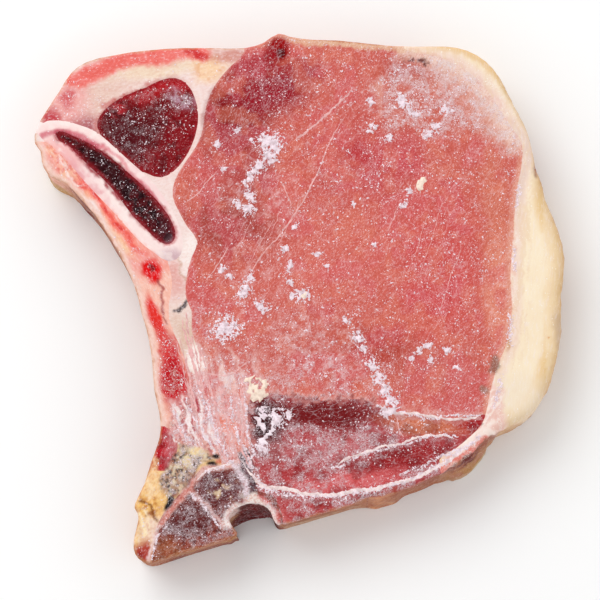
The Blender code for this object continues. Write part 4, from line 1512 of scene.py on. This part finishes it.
def add_light():
    """A pale dome, darker overhead so that the wet face isn't veiled, and a wide soft lamp."""
    world = bpy.data.worlds.new("studio")
    world.use_nodes = True
    tree = world.node_tree
    back = tree.nodes["Background"]
    where = tree.nodes.new("ShaderNodeTexCoord")
    parts = tree.nodes.new("ShaderNodeSeparateXYZ")
    fall = tree.nodes.new("ShaderNodeMapRange")
    fall.interpolation_type = "SMOOTHSTEP"
    for name, value in zip(("From Min", "From Max", "To Min", "To Max"), DOME_HEIGHTS + DOME_STRENGTHS):
        fall.inputs[name].default_value = value
    tree.links.new(where.outputs["Generated"], parts.inputs[0])
    tree.links.new(parts.outputs["Z"], fall.inputs["Value"])
    tree.links.new(fall.outputs[0], back.inputs["Strength"])
    back.inputs["Color"].default_value = (1, 1, 1, 1)
    bpy.context.scene.world = world
    lamp = bpy.data.lights.new("window", "AREA")
    lamp.shape = "DISK"
    lamp.size = LAMP_WIDTH
    lamp.energy = LAMP_WATTS
    light = bpy.data.objects.new("window", lamp)
    bpy.context.scene.collection.objects.link(light)
    light.location = LAMP_PLACE
    light.rotation_euler = light.location.to_track_quat("Z", "Y").to_euler()


def add_camera():
    """Looks down at the middle of the chop from a little towards the backbone."""
    data = bpy.data.cameras.new("camera")
    camera = bpy.data.objects.new("camera", data)
    bpy.context.scene.collection.objects.link(camera)
    elevation = math.radians(ELEVATION)
    target = Vector((*FACE_CENTRE, THICKNESS)) * MM
    back = Vector((0, -math.cos(elevation), math.sin(elevation)))
    camera.location = target + back * CAMERA_DISTANCE
    camera.rotation_euler = back.to_track_quat("Z", "Y").to_euler()
    data.sensor_width = SENSOR
    data.lens = SENSOR * CAMERA_DISTANCE / VIEW_WIDTH
    bpy.context.scene.camera = camera


def main():
    pieces, ground = make_pieces()
    for name, mesh in pieces.items():
        put_looks(mesh, name)
        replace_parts(add_piece(mesh), name)
    frost = plain_material("frost", (243, 229, 236))
    loose = [
        (make_fine_frost(ground), frost),
        (make_frost_clumps(ground), frost),
        (make_ribbons("ice_flakes", ICE_FLAKES, ground, 700), frost),
        (make_ribbons("cream_flakes", CREAM_FLAKES, ground, 800), plain_material("cream", (243, 224, 206))),
        (make_ribbons("fine_sinew", FINE_SINEWS + fan_lines(), ground, 900),
         plain_material("fine_sinew", (228, 176, 174))),
        (make_ribbons("thick_sinew", THICK_SINEWS, ground, 1600),
         plain_material("thick_sinew", (238, 218, 216))),
    ]
    for mesh, material in loose:
        mesh.materials.append(material)
        add_piece(mesh)
    add_floor()
    add_light()
    add_camera()
    bpy.context.scene.view_settings.view_transform = "Standard"


main()
